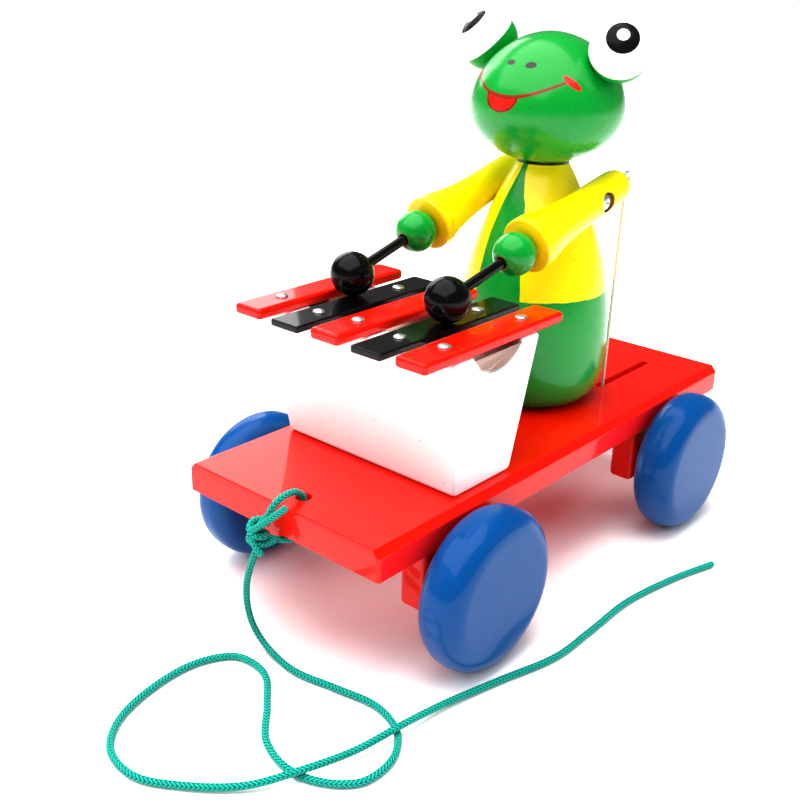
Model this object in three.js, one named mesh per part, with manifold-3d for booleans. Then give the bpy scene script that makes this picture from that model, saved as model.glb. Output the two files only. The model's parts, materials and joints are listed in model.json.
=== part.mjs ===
// Pull-along wooden frog that plays a five-bar xylophone.
// Millimetres, +Z up. The origin is on the floor under the middle of the cart.
// -Y is the end that the cord pulls, +X is the right side of the cart seen from behind the cord.

import * as THREE from 'three';
import { mergeVertices } from 'three/addons/utils/BufferGeometryUtils.js';
import Module from 'manifold-3d';

const wasm = await Module();
wasm.setup();

// ---------------------------------------------------------------- clearances
const GAP = 0.3; // between pieces that touch, seat in or pass through each other
const GLUE = 0.1; // glue line between flat faces
const RUN = 0.1; // radial clearance of a shaft that turns in a wooden hole

// ---------------------------------------------------------------- cart
const DECK_LENGTH = 243;
const DECK_WIDTH = 99;
const DECK_THICKNESS = 12;
const DECK_BEVEL = 2.7; // along both long top edges
const DECK_CORNER_RADIUS = 2.4;
const WHEEL_DIAMETER = 63;
const WHEEL_THICKNESS = 19.4;
const WHEEL_RIM_RADIUS = 8.8;
const WHEEL_SIDE_CLEARANCE = 1;
const AXLE_DIAMETER = 3.2;
const AXLE_BELOW_DECK = 17.8; // axle centre to the underside of the deck
const AXLE_SEAT_DEPTH = 12; // blind hole in the wheel
const FRONT_AXLE_Y = -75.4;
const REAR_AXLE_Y = 72;
const BLOCK_THICKNESS = 12;
const BLOCK_LENGTH = 32;
const BLOCK_HEIGHT = 28.3;
const BLOCK_OUTER_X = 44.6;
const BLOCK_EDGE_RADIUS = 2.2;
const CRANK_THROW = 8.3;
const CRANK_X = 20;
const CRANK_PIN_LENGTH = 9;
const CRANK_WEB_SPLAY = 1.3; // how far each web leans outwards along X
const SLOT_X = 21.4;
const SLOT_WIDTH = 3.4;
const SLOT_START_Y = 57;
const SLOT_END_Y = 102;
const CORD_HOLE_DIAMETER = 6;

// ---------------------------------------------------------------- xylophone
const RESONATOR_Y = -57.8;
const RESONATOR_HEIGHT = 54.6;
const RESONATOR_FOOT = [86.4, 34]; // width along X, depth along Y, at the deck
const RESONATOR_TOP = [94.6, 50.4]; // the same at the bars
const RESONATOR_EDGE_RADIUS = 2;
const GROOVE_RADIUS = 16;
const GROOVE_CENTRE_ABOVE_TOP = 8;
const BAR_LENGTH = 80.5;
const BAR_WIDTH = 14;
const BAR_PITCH = 20.2;
const RED_BAR_THICKNESS = 4.3;
const BLACK_BAR_THICKNESS = 2.7;
const RED_BAR_EDGE_RADIUS = 1.4;
const BLACK_BAR_EDGE_RADIUS = 0.5;
const NAIL_INSET = 18; // from each end of a bar
const NAIL_SHANK_RADIUS = 0.8;
const NAIL_HEAD_RADIUS = 2.4;
const NAIL_HEAD_HEIGHT = 1;
const NAIL_LENGTH = 15;

// ---------------------------------------------------------------- frog
const FROG_Y = 31.6;
const BODY_HEIGHT = 102.5;
const BODY_RADIUS = 33.4;
const BODY_WIDEST_HEIGHT = 26;
const BODY_FOOT_RADIUS = 21;
const NECK_RADIUS = 11;
const HEAD_RADIUS = 31.6;
const HEAD_ABOVE_NECK = 22.1; // head centre above the top of the body
const HEAD_CROWN = 29.8; // centre to crown
const HEAD_CHIN = 22; // centre to the lowest point of the full curve
const HEAD_CROWN_EXPONENT = 1.9;
const NECK_DOWEL_RADIUS = 4;
const NECK_DOWEL_DEPTH = 14; // into the body and into the head alike
const EYE_RADIUS = 12;
const EYE_X = 31.4;
const EYE_ABOVE_HEAD = 24.1; // eye centre above the head centre
const FIXING_SCREW_RADIUS = 2;
const FIXING_SCREW_HEAD_RADIUS = 4;
const FIXING_SCREW_DEPTH = 20; // thread length above the deck

// ---------------------------------------------------------------- arms
const SHOULDER_BELOW_NECK = 12; // pivot below the top of the body
const SHOULDER_STANDOFF = 6.25; // pivot to the body's side, measured a little below the pivot
const STANDOFF_DROP = 5; // how far below the pivot
const MALLET_LIFT = 0.1; // mallet above the black bar under it, at rest
const ARM_YAW = { left: 0, right: 2.9 }; // degrees towards the left side of the cart
const ARM_TAIL = 20.5; // shoulder to the round end behind it
const ARM_TAIL_RADIUS = 6.9;
const ARM_SHOULDER_RADIUS = 7.4;
const ARM_CUFF = 45.2; // shoulder to the face of the cuff
const ARM_CUFF_RADIUS = 11.2;
const ARM_CUFF_BAND = 5.5;
const HAND_RADIUS = 8.5;
const HAND_DISTANCE = 52;
const STICK_RADIUS = 2.1;
const STICK_SEAT = 5; // depth of the stick in the hand and in the mallet
const MALLET_RADIUS = 8.7;
const MALLET_DISTANCE = 91;
const SHOULDER_SCREW_RADIUS = 1.6;
const SHOULDER_SCREW_HEAD_RADIUS = 3.4;
const SHOULDER_SCREW_HEAD_HEIGHT = 1.6;
const SHOULDER_SCREW_END_X = 6; // tip, from the middle of the body
const SCREW_RECESS_RADIUS = 4.1;
const SCREW_RECESS_DEPTH = 2.4;
const EYELET_RING_RADIUS = 2.4;
const EYELET_WIRE_RADIUS = 0.7;
const EYELET_SHANK = 7;
const THREAD_RADIUS = 0.7;
const THREAD_END_HEIGHT = 0.7; // above the underside of the deck

// ---------------------------------------------------------------- pull cord
const CORD_DIAMETER = 2.6;
const CORD_SIDES = 8;
const CORD_STEPS = 72;
const KNOT_CENTRE = [-2, -127.4, 51.4];
const KNOT_RADII = [5.2, 5, 6.3];
// Loop through the deck hole, from the top of the knot to its back.
const LOOP_ROUTE = [
  [0.9, -126.3, 58.7], [1.8, -125.6, 61.4], [2.6, -123.4, 64], [3, -120, 65.2], [3, -115.6, 64.9],
  [3, -111.9, 62.2], [3, -111, 58], [3, -111, 53], [3, -111.4, 48.8], [2.7, -113.6, 46.2],
  [1.7, -117, 45.6], [0.3, -120.4, 46.6],
];
// Free cord, from under the knot, down to the floor and out to its cut end.
const CORD_ROUTE = [
  [-4, -128, 44.4], [-6.6, -129, 36], [-8.8, -129.3, 27.5], [-9.2, -129, 18.5], [-7.8, -128, 10.3],
  [-3.4, -127.4, 4.6], [5.6, -128.1, 1.7], [17.1, -128.9, 1.4], [34.3, -125.5, 1.4],
  [51.5, -123, 1.4], [65.2, -128.2, 1.4], [72.6, -139, 1.4], [72.4, -152.9, 1.4],
  [62.6, -162, 1.4], [50.1, -164.8, 1.4], [36.1, -160.7, 1.4], [22.7, -148.4, 1.4],
  [8.3, -137.2, 1.4], [-6.1, -137.6, 1.4], [-13.6, -149.3, 1.4], [-14.1, -167.8, 1.4],
  [-7.8, -188.1, 1.4], [2.8, -198.4, 1.4], [18.1, -200.1, 1.4], [32.8, -192.2, 1.5],
  [47.7, -179.6, 2.4], [57.4, -163.6, 4.3], [62.6, -145.1, 3.4], [66.1, -126.7, 4.3],
  [67.9, -107.3, 2.4], [73.6, -82.2, 1.5], [80.5, -56.3, 1.4], [81, -33, 1.4], [81, -5, 1.4],
  [86.5, 24.9, 1.4], [92.9, 46.3, 1.4],
];
const KNOT_TAILS = [
  [[0, -129.4, 54], [5.5, -128.6, 59.5], [10.6, -126, 65.4]],
  [[-2.4, -129, 49], [-1.2, -129.6, 45.6], [0.8, -129.2, 42.4]],
];

// ---------------------------------------------------------------- derived
const AXLE_Z = WHEEL_DIAMETER / 2;
const DECK_UNDERSIDE = AXLE_Z + AXLE_BELOW_DECK;
const DECK_TOP = DECK_UNDERSIDE + DECK_THICKNESS;
const WHEEL_INNER_X = DECK_WIDTH / 2 + WHEEL_SIDE_CLEARANCE;
const AXLE_END_X = WHEEL_INNER_X + AXLE_SEAT_DEPTH - GAP;
const BARS_Z = DECK_TOP + GLUE + RESONATOR_HEIGHT;
const SHOULDER_Z = DECK_TOP + BODY_HEIGHT - SHOULDER_BELOW_NECK;
const SHOULDER_X = bodyRadius(BODY_HEIGHT - SHOULDER_BELOW_NECK - STANDOFF_DROP) + SHOULDER_STANDOFF;
const NECK_Z = DECK_TOP + GLUE + BODY_HEIGHT;
const HEAD_Z = DECK_TOP + BODY_HEIGHT + HEAD_ABOVE_NECK;
const MALLET_Z = BARS_Z + BLACK_BAR_THICKNESS + MALLET_LIFT + MALLET_RADIUS;
const FRONT_EDGE_Y = -DECK_LENGTH / 2;
const CORD_HOLE = [3, FRONT_EDGE_Y + 10.5];
const SIDES = { left: -1, right: 1 };

// ---------------------------------------------------------------- solids
function solid(geometry) {
  const bare = geometry.clone();
  bare.deleteAttribute('normal');
  bare.deleteAttribute('uv');
  const merged = mergeVertices(bare, 1e-4);
  const mesh = new wasm.Mesh({
    numProp: 3,
    vertProperties: new Float32Array(merged.attributes.position.array),
    triVerts: new Uint32Array(merged.index.array),
  });
  return new wasm.Manifold(mesh);
}

function geometryOf(body) {
  const mesh = body.getMesh();
  const geometry = new THREE.BufferGeometry();
  geometry.setAttribute('position', new THREE.BufferAttribute(mesh.vertProperties, 3));
  geometry.setIndex(new THREE.BufferAttribute(mesh.triVerts, 1));
  return geometry;
}

// The first geometry with the others cut away from it.
function cut(geometry, ...tools) {
  let body = solid(geometry);
  for (const tool of tools) {
    body = body.subtract(solid(tool));
  }
  return geometryOf(body);
}

function join(...geometries) {
  return geometryOf(geometries.map(solid).reduce((sum, next) => sum.add(next)));
}

function common(first, second) {
  return geometryOf(solid(first).intersect(solid(second)));
}

// A cylinder between two points.
function rod(from, to, radius, segments = 16) {
  const start = new THREE.Vector3(...from);
  const along = new THREE.Vector3(...to).sub(start);
  const geometry = new THREE.CylinderGeometry(radius, radius, along.length(), segments);
  geometry.translate(0, along.length() / 2, 0);
  const turn = new THREE.Quaternion().setFromUnitVectors(
    new THREE.Vector3(0, 1, 0),
    along.clone().normalize(),
  );
  geometry.applyQuaternion(turn);
  geometry.translate(...start.toArray());
  return geometry;
}

// A profile of [radius, height] pairs turned about +Z.
function turned(profile, segments) {
  const points = profile.map(([r, z]) => new THREE.Vector2(Math.max(r, 0), z));
  const geometry = new THREE.LatheGeometry(points, segments);
  geometry.rotateX(Math.PI / 2);
  return geometry;
}

function tube(points, diameter, sides, steps) {
  const path = new THREE.CatmullRomCurve3(points.map((p) => new THREE.Vector3(...p)));
  const section = new THREE.Shape();
  for (let i = 0; i < sides; i += 1) {
    const angle = (2 * Math.PI * i) / sides;
    const x = (diameter / 2) * Math.cos(angle);
    const y = (diameter / 2) * Math.sin(angle);
    if (i === 0) section.moveTo(x, y);
    else section.lineTo(x, y);
  }
  section.closePath();
  return new THREE.ExtrudeGeometry(section, { steps, extrudePath: path, bevelEnabled: false });
}

function roundedRectangle(width, height, radius) {
  const x = width / 2;
  const y = height / 2;
  const shape = new THREE.Shape();
  shape.moveTo(-x + radius, -y);
  shape.lineTo(x - radius, -y);
  shape.absarc(x - radius, -y + radius, radius, -Math.PI / 2, 0, false);
  shape.lineTo(x, y - radius);
  shape.absarc(x - radius, y - radius, radius, 0, Math.PI / 2, false);
  shape.lineTo(-x + radius, y);
  shape.absarc(-x + radius, y - radius, radius, Math.PI / 2, Math.PI, false);
  shape.lineTo(-x, -y + radius);
  shape.absarc(-x + radius, -y + radius, radius, Math.PI, 1.5 * Math.PI, false);
  return shape;
}

function slab(shape, depth, curveSegments = 3) {
  return new THREE.ExtrudeGeometry(shape, { depth, bevelEnabled: false, curveSegments });
}

// ---------------------------------------------------------------- scene graph
const toy = new THREE.Group();

const FINISH = {
  red: { color: 0xf4230f, roughness: 0.3, metalness: 0 },
  blue: { color: 0x123f86, roughness: 0.2, metalness: 0 },
  white: { color: 0xf6f4f1, roughness: 0.3, metalness: 0 },
  black: { color: 0x161514, roughness: 0.3, metalness: 0 },
  green: { color: 0x14a53c, roughness: 0.15, metalness: 0 },
  yellow: { color: 0xf5ee1e, roughness: 0.25, metalness: 0 },
  wood: { color: 0xd9b98a, roughness: 0.7, metalness: 0 },
  steel: { color: 0xc9ccd0, roughness: 0.25, metalness: 1 },
  thread: { color: 0xf1ece0, roughness: 0.9, metalness: 0 },
  cord: { color: 0x19c9ac, roughness: 0.8, metalness: 0 },
};

function place(name, geometry, finish) {
  const mesh = new THREE.Mesh(geometry, new THREE.MeshStandardMaterial(FINISH[finish]));
  mesh.name = name;
  toy.add(mesh);
}

// ---------------------------------------------------------------- cart
function deckGeometry() {
  const half = DECK_WIDTH / 2;
  const section = new THREE.Shape();
  section.moveTo(-half, DECK_UNDERSIDE);
  section.lineTo(half, DECK_UNDERSIDE);
  section.lineTo(half, DECK_TOP - DECK_BEVEL);
  section.lineTo(half - DECK_BEVEL, DECK_TOP);
  section.lineTo(-half + DECK_BEVEL, DECK_TOP);
  section.lineTo(-half, DECK_TOP - DECK_BEVEL);
  section.closePath();
  const board = slab(section, DECK_LENGTH);
  board.rotateX(Math.PI / 2);
  board.translate(0, DECK_LENGTH / 2, 0);
  const margin = 1;
  const plan = slab(
    roundedRectangle(DECK_WIDTH, DECK_LENGTH, DECK_CORNER_RADIUS),
    DECK_THICKNESS + 2 * margin,
  );
  plan.translate(0, 0, DECK_UNDERSIDE - margin);
  const through = (x, y, radius, segments) => rod(
    [x, y, DECK_UNDERSIDE - margin],
    [x, y, DECK_TOP + margin],
    radius,
    segments,
  );
  const slots = Object.values(SIDES).map((side) => {
    const slot = slab(
      roundedRectangle(SLOT_WIDTH, SLOT_END_Y - SLOT_START_Y, SLOT_WIDTH / 2 - 0.01),
      DECK_THICKNESS + 2 * margin,
    );
    slot.translate(side * SLOT_X, (SLOT_START_Y + SLOT_END_Y) / 2, DECK_UNDERSIDE - margin);
    return slot;
  });
  const screwHoles = fixingScrewPlaces().map(([, x, y]) => through(
    x,
    y,
    FIXING_SCREW_RADIUS + GAP,
    12,
  ));
  return cut(
    common(board, plan),
    through(...CORD_HOLE, CORD_HOLE_DIAMETER / 2, 16),
    ...slots,
    ...screwHoles,
  );
}

function bearingBlockGeometry(side, axleY) {
  const shape = roundedRectangle(BLOCK_THICKNESS, BLOCK_HEIGHT - GLUE, BLOCK_EDGE_RADIUS);
  const block = slab(shape, BLOCK_LENGTH);
  block.rotateX(Math.PI / 2);
  const x = side * (BLOCK_OUTER_X - BLOCK_THICKNESS / 2);
  block.translate(x, axleY + BLOCK_LENGTH / 2, DECK_UNDERSIDE - GLUE - (BLOCK_HEIGHT - GLUE) / 2);
  const reach = BLOCK_THICKNESS;
  const bore = rod([x - reach, axleY, AXLE_Z], [x + reach, axleY, AXLE_Z], AXLE_DIAMETER / 2 + RUN);
  return cut(block, bore);
}

// Flat faces, a full round rim, and a blind seat for the axle in the inner face.
function wheelGeometry(side, axleY) {
  const radius = WHEEL_DIAMETER / 2;
  const rim = WHEEL_RIM_RADIUS;
  const seat = AXLE_DIAMETER / 2 + GAP / 2;
  const profile = [[0, WHEEL_THICKNESS]];
  const arcSteps = 3;
  for (let i = 0; i <= arcSteps; i += 1) {
    const angle = (Math.PI / 2) * (1 - i / arcSteps);
    profile.push([
      radius - rim + rim * Math.cos(angle),
      WHEEL_THICKNESS - rim + rim * Math.sin(angle),
    ]);
  }
  for (let i = 0; i <= arcSteps; i += 1) {
    const angle = -(Math.PI / 2) * (i / arcSteps);
    profile.push([radius - rim + rim * Math.cos(angle), rim + rim * Math.sin(angle)]);
  }
  profile.push([seat, 0], [seat, AXLE_SEAT_DEPTH], [0, AXLE_SEAT_DEPTH]);
  const wheel = turned(profile.reverse(), 24);
  wheel.rotateY(side * Math.PI / 2);
  wheel.translate(side * WHEEL_INNER_X, axleY, AXLE_Z);
  return wheel;
}

// One wire, bent into two cranks that point opposite ways.
function crankAxleGeometry() {
  const radius = AXLE_DIAMETER / 2;
  const half = CRANK_PIN_LENGTH / 2;
  const foot = half + CRANK_WEB_SPLAY;
  const bends = [];
  for (const side of [SIDES.left, SIDES.right]) {
    const pinY = crankPin(side)[1];
    bends.push(
      [side * CRANK_X - foot, REAR_AXLE_Y, AXLE_Z],
      [side * CRANK_X - half, pinY, AXLE_Z],
      [side * CRANK_X + half, pinY, AXLE_Z],
      [side * CRANK_X + foot, REAR_AXLE_Y, AXLE_Z],
    );
  }
  const ends = [-AXLE_END_X, AXLE_END_X].map((x) => [x, REAR_AXLE_Y, AXLE_Z]);
  const route = [ends[0], ...bends, ends[1]];
  const legs = route.slice(1).map((to, i) => rod(route[i], to, radius, 8));
  const knuckles = bends.map((at) => sphere(at, radius, 6, 4));
  return join(...legs, ...knuckles);
}

const crankPin = (side) => [side * CRANK_X, REAR_AXLE_Y - side * CRANK_THROW, AXLE_Z];

// A ring about X, on a crank pin, where the thread is tied.
function threadLoopGeometry(side) {
  const inner = AXLE_DIAMETER / 2 + GAP;
  const ring = new THREE.TorusGeometry(inner + THREAD_RADIUS, THREAD_RADIUS, 6, 12);
  ring.rotateY(Math.PI / 2);
  ring.translate(...crankPin(side));
  return ring;
}

function fixingScrewPlaces() {
  return [
    ['body_fixing_screw', 0, FROG_Y],
    ['resonator_fixing_screw_left', -28, RESONATOR_Y],
    ['resonator_fixing_screw_right', 28, RESONATOR_Y],
  ];
}

function fixingScrewGeometry(x, y) {
  const under = DECK_UNDERSIDE - GLUE;
  const profile = [
    [0, under - 2.2], [2.6, under - 1.8], [FIXING_SCREW_HEAD_RADIUS, under],
    [FIXING_SCREW_RADIUS, under], [FIXING_SCREW_RADIUS, DECK_TOP + FIXING_SCREW_DEPTH - 3],
    [0, DECK_TOP + FIXING_SCREW_DEPTH],
  ];
  const screw = turned(profile, 10);
  screw.translate(x, y, 0);
  return screw;
}

function fixingScrewPilot(x, y) {
  return rod(
    [x, y, DECK_TOP - 1],
    [x, y, DECK_TOP + FIXING_SCREW_DEPTH + GAP],
    FIXING_SCREW_RADIUS + GAP,
    10,
  );
}

function addCart() {
  place('deck', deckGeometry(), 'red');
  const axles = { front: FRONT_AXLE_Y, rear: REAR_AXLE_Y };
  for (const [end, axleY] of Object.entries(axles)) {
    for (const [hand, side] of Object.entries(SIDES)) {
      place(`bearing_block_${end}_${hand}`, bearingBlockGeometry(side, axleY), 'red');
      place(`wheel_${end}_${hand}`, wheelGeometry(side, axleY), 'blue');
    }
  }
  const straight = rod(
    [-AXLE_END_X, FRONT_AXLE_Y, AXLE_Z],
    [AXLE_END_X, FRONT_AXLE_Y, AXLE_Z],
    AXLE_DIAMETER / 2,
  );
  place('front_axle', straight, 'steel');
  place('rear_crank_axle', crankAxleGeometry(), 'steel');
  for (const [hand, side] of Object.entries(SIDES)) {
    place(`crank_loop_${hand}`, threadLoopGeometry(side), 'thread');
  }
  for (const [name, x, y] of fixingScrewPlaces()) {
    place(name, fixingScrewGeometry(x, y), 'steel');
  }
}

// ---------------------------------------------------------------- xylophone
const BARS = [
  ['bar_1_red', 'red'], ['bar_2_black', 'black'], ['bar_3_red', 'red'],
  ['bar_4_black', 'black'], ['bar_5_red', 'red'],
];
const BAR_THICKNESS = { red: RED_BAR_THICKNESS, black: BLACK_BAR_THICKNESS };
const BAR_EDGE_RADIUS = { red: RED_BAR_EDGE_RADIUS, black: BLACK_BAR_EDGE_RADIUS };
const barX = (index) => (index - (BARS.length - 1) / 2) * BAR_PITCH;
const nailY = (end) => RESONATOR_Y + end * (BAR_LENGTH / 2 - NAIL_INSET);
const NAIL_ENDS = { front: -1, back: 1 };

// A block that widens upwards on all four sides, with a trough along X under the bars.
function resonatorGeometry() {
  const rounded = (width, depth) => roundedRectangle(width, depth, RESONATOR_EDGE_RADIUS);
  const foot = rounded(...RESONATOR_FOOT).getPoints(3);
  const top = rounded(...RESONATOR_TOP).getPoints(3);
  const frustum = loft(foot, top, RESONATOR_HEIGHT);
  frustum.translate(0, RESONATOR_Y, DECK_TOP + GLUE);
  const reach = RESONATOR_TOP[0];
  const grooveZ = BARS_Z + GROOVE_CENTRE_ABOVE_TOP;
  const groove = rod([-reach, RESONATOR_Y, grooveZ], [reach, RESONATOR_Y, grooveZ], GROOVE_RADIUS, 24);
  const pilots = BARS.flatMap((bar, index) => Object.values(NAIL_ENDS).map((end) => rod(
    [barX(index), nailY(end), BARS_Z - NAIL_LENGTH],
    [barX(index), nailY(end), BARS_Z + 1],
    NAIL_SHANK_RADIUS + GAP,
    6,
  )));
  const screws = fixingScrewPlaces().slice(1).map(([, x, y]) => fixingScrewPilot(x, y));
  return cut(frustum, groove, ...pilots, ...screws);
}

// A closed solid between two outlines with the same number of points.
function loft(lower, upper, height) {
  const count = lower.length;
  const positions = [];
  lower.forEach((p) => positions.push(p.x, p.y, 0));
  upper.forEach((p) => positions.push(p.x, p.y, height));
  positions.push(0, 0, 0, 0, 0, height);
  const index = [];
  for (let i = 0; i < count; i += 1) {
    const next = (i + 1) % count;
    index.push(i, next, count + next, i, count + next, count + i);
    index.push(next, i, 2 * count);
    index.push(count + i, count + next, 2 * count + 1);
  }
  const geometry = new THREE.BufferGeometry();
  geometry.setAttribute('position', new THREE.Float32BufferAttribute(positions, 3));
  geometry.setIndex(index);
  return geometry;
}

function barGeometry(index, colour) {
  const thickness = BAR_THICKNESS[colour];
  const shape = roundedRectangle(BAR_WIDTH, thickness - GLUE, BAR_EDGE_RADIUS[colour]);
  const bar = slab(shape, BAR_LENGTH, 2);
  bar.rotateX(Math.PI / 2);
  bar.translate(barX(index), RESONATOR_Y + BAR_LENGTH / 2, BARS_Z + GLUE + (thickness - GLUE) / 2);
  const holes = Object.values(NAIL_ENDS).map((end) => rod(
    [barX(index), nailY(end), BARS_Z - 1],
    [barX(index), nailY(end), BARS_Z + thickness + 1],
    NAIL_SHANK_RADIUS + GAP,
    6,
  ));
  return cut(bar, ...holes);
}

function nailGeometry(index, end, colour) {
  const seat = BARS_Z + BAR_THICKNESS[colour] + GLUE;
  const profile = [
    [0, seat - NAIL_LENGTH], [NAIL_SHANK_RADIUS, seat - NAIL_LENGTH + 2], [NAIL_SHANK_RADIUS, seat],
    [NAIL_HEAD_RADIUS, seat], [NAIL_HEAD_RADIUS * 0.8, seat + NAIL_HEAD_HEIGHT * 0.7],
    [0, seat + NAIL_HEAD_HEIGHT],
  ];
  const nail = turned(profile, 8);
  nail.translate(barX(index), nailY(end), 0);
  return nail;
}

function addXylophone() {
  place('resonator_block', resonatorGeometry(), 'white');
  BARS.forEach(([name, colour], index) => {
    place(name, barGeometry(index, colour), colour);
    for (const [label, end] of Object.entries(NAIL_ENDS)) {
      place(`bar_nail_${index + 1}_${label}`, nailGeometry(index, end, colour), 'steel');
    }
  });
}

// ---------------------------------------------------------------- frog
// The skittle body: a rounded foot, then a parabola from the widest ring up to the neck.
function bodyRadius(height) {
  if (height < BODY_WIDEST_HEIGHT) {
    const below = (BODY_WIDEST_HEIGHT - height) / BODY_WIDEST_HEIGHT;
    return BODY_FOOT_RADIUS + (BODY_RADIUS - BODY_FOOT_RADIUS) * Math.sqrt(1 - below ** 3);
  }
  const above = (height - BODY_WIDEST_HEIGHT) / (BODY_HEIGHT - BODY_WIDEST_HEIGHT);
  return NECK_RADIUS + (BODY_RADIUS - NECK_RADIUS) * (1 - above ** 2);
}

function bodyGeometry() {
  const heights = [0, 1.2, 4.5, 11, 18, 26, 38, 50, 62, 73, 83, 93, BODY_HEIGHT];
  const base = DECK_TOP + GLUE;
  const profile = [[0, base], ...heights.map((h) => [bodyRadius(h), base + h]), [0, NECK_Z]];
  const body = turned(profile, 24);
  body.translate(0, FROG_Y, 0);
  const dowelHole = rod(
    [0, FROG_Y, NECK_Z - NECK_DOWEL_DEPTH - GAP],
    [0, FROG_Y, NECK_Z + 1],
    NECK_DOWEL_RADIUS + GAP / 2,
    12,
  );
  const screwHoles = Object.values(SIDES).map((side) => rod(
    [side * (SHOULDER_SCREW_END_X - GAP), FROG_Y, SHOULDER_Z],
    [side * BODY_RADIUS, FROG_Y, SHOULDER_Z],
    SHOULDER_SCREW_RADIUS + GAP,
    8,
  ));
  return cut(body, dowelHole, ...screwHoles, fixingScrewPilot(0, FROG_Y));
}

function headRadius(z) {
  const up = z > 0;
  const share = Math.abs(z) / (up ? HEAD_CROWN : HEAD_CHIN);
  const power = up ? HEAD_CROWN_EXPONENT : 2;
  return HEAD_RADIUS * Math.max(1 - share ** power, 0) ** (1 / power);
}

const eyeCentre = (side) => [side * EYE_X, FROG_Y, HEAD_Z + EYE_ABOVE_HEAD];

function sphere(centre, radius, around, upright) {
  const ball = new THREE.SphereGeometry(radius, around, upright);
  ball.rotateX(Math.PI / 2);
  ball.translate(...centre);
  return ball;
}

function headGeometry() {
  const flat = NECK_Z + GAP - HEAD_Z; // underside, on the neck
  const profile = [[0, flat]];
  const rings = 12;
  const start = Math.asin(flat / HEAD_CHIN);
  for (let i = 0; i <= rings; i += 1) {
    const angle = start + (Math.PI / 2 - start) * (i / rings);
    const z = Math.sin(angle) * (angle > 0 ? HEAD_CROWN : HEAD_CHIN);
    profile.push([i === rings ? 0 : headRadius(z), z]);
  }
  const head = turned(profile, 24);
  head.translate(0, FROG_Y, HEAD_Z);
  const seats = Object.values(SIDES).map((side) => sphere(eyeCentre(side), EYE_RADIUS + GAP, 16, 10));
  const dowelHole = rod(
    [0, FROG_Y, NECK_Z - 1],
    [0, FROG_Y, NECK_Z + GAP + NECK_DOWEL_DEPTH],
    NECK_DOWEL_RADIUS + GAP / 2,
    12,
  );
  return cut(head, ...seats, dowelHole);
}

function addFrog() {
  place('frog_body', bodyGeometry(), 'green');
  place('frog_head', headGeometry(), 'green');
  const dowel = rod(
    [0, FROG_Y, NECK_Z - NECK_DOWEL_DEPTH],
    [0, FROG_Y, NECK_Z + NECK_DOWEL_DEPTH],
    NECK_DOWEL_RADIUS,
    12,
  );
  place('neck_dowel', dowel, 'wood');
  for (const [hand, side] of Object.entries(SIDES)) {
    place(`eye_${hand}`, sphere(eyeCentre(side), EYE_RADIUS, 16, 10), 'white');
  }
}

// ---------------------------------------------------------------- arms
// Unit vector from the shoulder towards the mallet.
function armDirection(hand) {
  const pitch = Math.asin((SHOULDER_Z - MALLET_Z) / MALLET_DISTANCE);
  const yaw = THREE.MathUtils.degToRad(ARM_YAW[hand]);
  const level = Math.cos(pitch);
  return new THREE.Vector3(-Math.sin(yaw) * level, -Math.cos(yaw) * level, -Math.sin(pitch));
}

function alongArm(hand, distance) {
  const shoulder = new THREE.Vector3(SIDES[hand] * SHOULDER_X, FROG_Y, SHOULDER_Z);
  return shoulder.addScaledVector(armDirection(hand), distance);
}

// Moves a geometry made about +Z, with the shoulder at its origin, into the arm's line.
function onArm(geometry, hand) {
  const turn = new THREE.Quaternion().setFromUnitVectors(
    new THREE.Vector3(0, 0, 1),
    armDirection(hand),
  );
  geometry.applyQuaternion(turn);
  geometry.translate(...alongArm(hand, 0).toArray());
  return geometry;
}

// A turned sleeve: round tail, slow taper, then a flare to the cuff.
function sleeveRadius(distance) {
  const round = ARM_TAIL_RADIUS;
  const fromTail = distance + ARM_TAIL;
  const cap = fromTail < round ? Math.sqrt(round ** 2 - (round - fromTail) ** 2) / round : 1;
  const taper = ARM_TAIL_RADIUS + (ARM_SHOULDER_RADIUS - ARM_TAIL_RADIUS) * (fromTail / ARM_TAIL);
  const flareEnd = ARM_CUFF - ARM_CUFF_BAND;
  const share = THREE.MathUtils.clamp(distance / flareEnd, 0, 1);
  const plain = Math.min(taper, ARM_SHOULDER_RADIUS);
  return cap * (plain + (ARM_CUFF_RADIUS - ARM_SHOULDER_RADIUS) * share ** 2.6);
}

function armGeometry(hand) {
  const side = SIDES[hand];
  const stops = [-ARM_TAIL, -19.3, -16.8, -13, 0, 14, 24, 32, ARM_CUFF - ARM_CUFF_BAND];
  const profile = stops.map((s) => [sleeveRadius(s), s]);
  profile.push([ARM_CUFF_RADIUS, ARM_CUFF - 0.8], [ARM_CUFF_RADIUS - 0.8, ARM_CUFF], [0, ARM_CUFF]);
  const sleeve = onArm(turned(profile, 18), hand);
  const socket = sphere(alongArm(hand, HAND_DISTANCE).toArray(), HAND_RADIUS + GAP, 14, 10);
  const [shoulderX, shoulderY, shoulderZ] = alongArm(hand, 0).toArray();
  const reach = 2 * ARM_SHOULDER_RADIUS;
  const screwHole = rod(
    [shoulderX - reach, shoulderY, shoulderZ],
    [shoulderX + reach, shoulderY, shoulderZ],
    SHOULDER_SCREW_RADIUS + RUN,
    12,
  );
  const recess = rod(
    [recessFloorX(hand), shoulderY, shoulderZ],
    [shoulderX + side * reach, shoulderY, shoulderZ],
    SCREW_RECESS_RADIUS,
    12,
  );
  const eyeletHole = rod(
    alongArm(hand, -ARM_TAIL - 1).toArray(),
    alongArm(hand, -ARM_TAIL + EYELET_SHANK + GAP).toArray(),
    EYELET_WIRE_RADIUS + GAP / 2,
    6,
  );
  return cut(sleeve, socket, screwHole, recess, eyeletHole);
}

const recessFloorX = (hand) => SIDES[hand] * (SHOULDER_X + ARM_SHOULDER_RADIUS - SCREW_RECESS_DEPTH);

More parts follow.
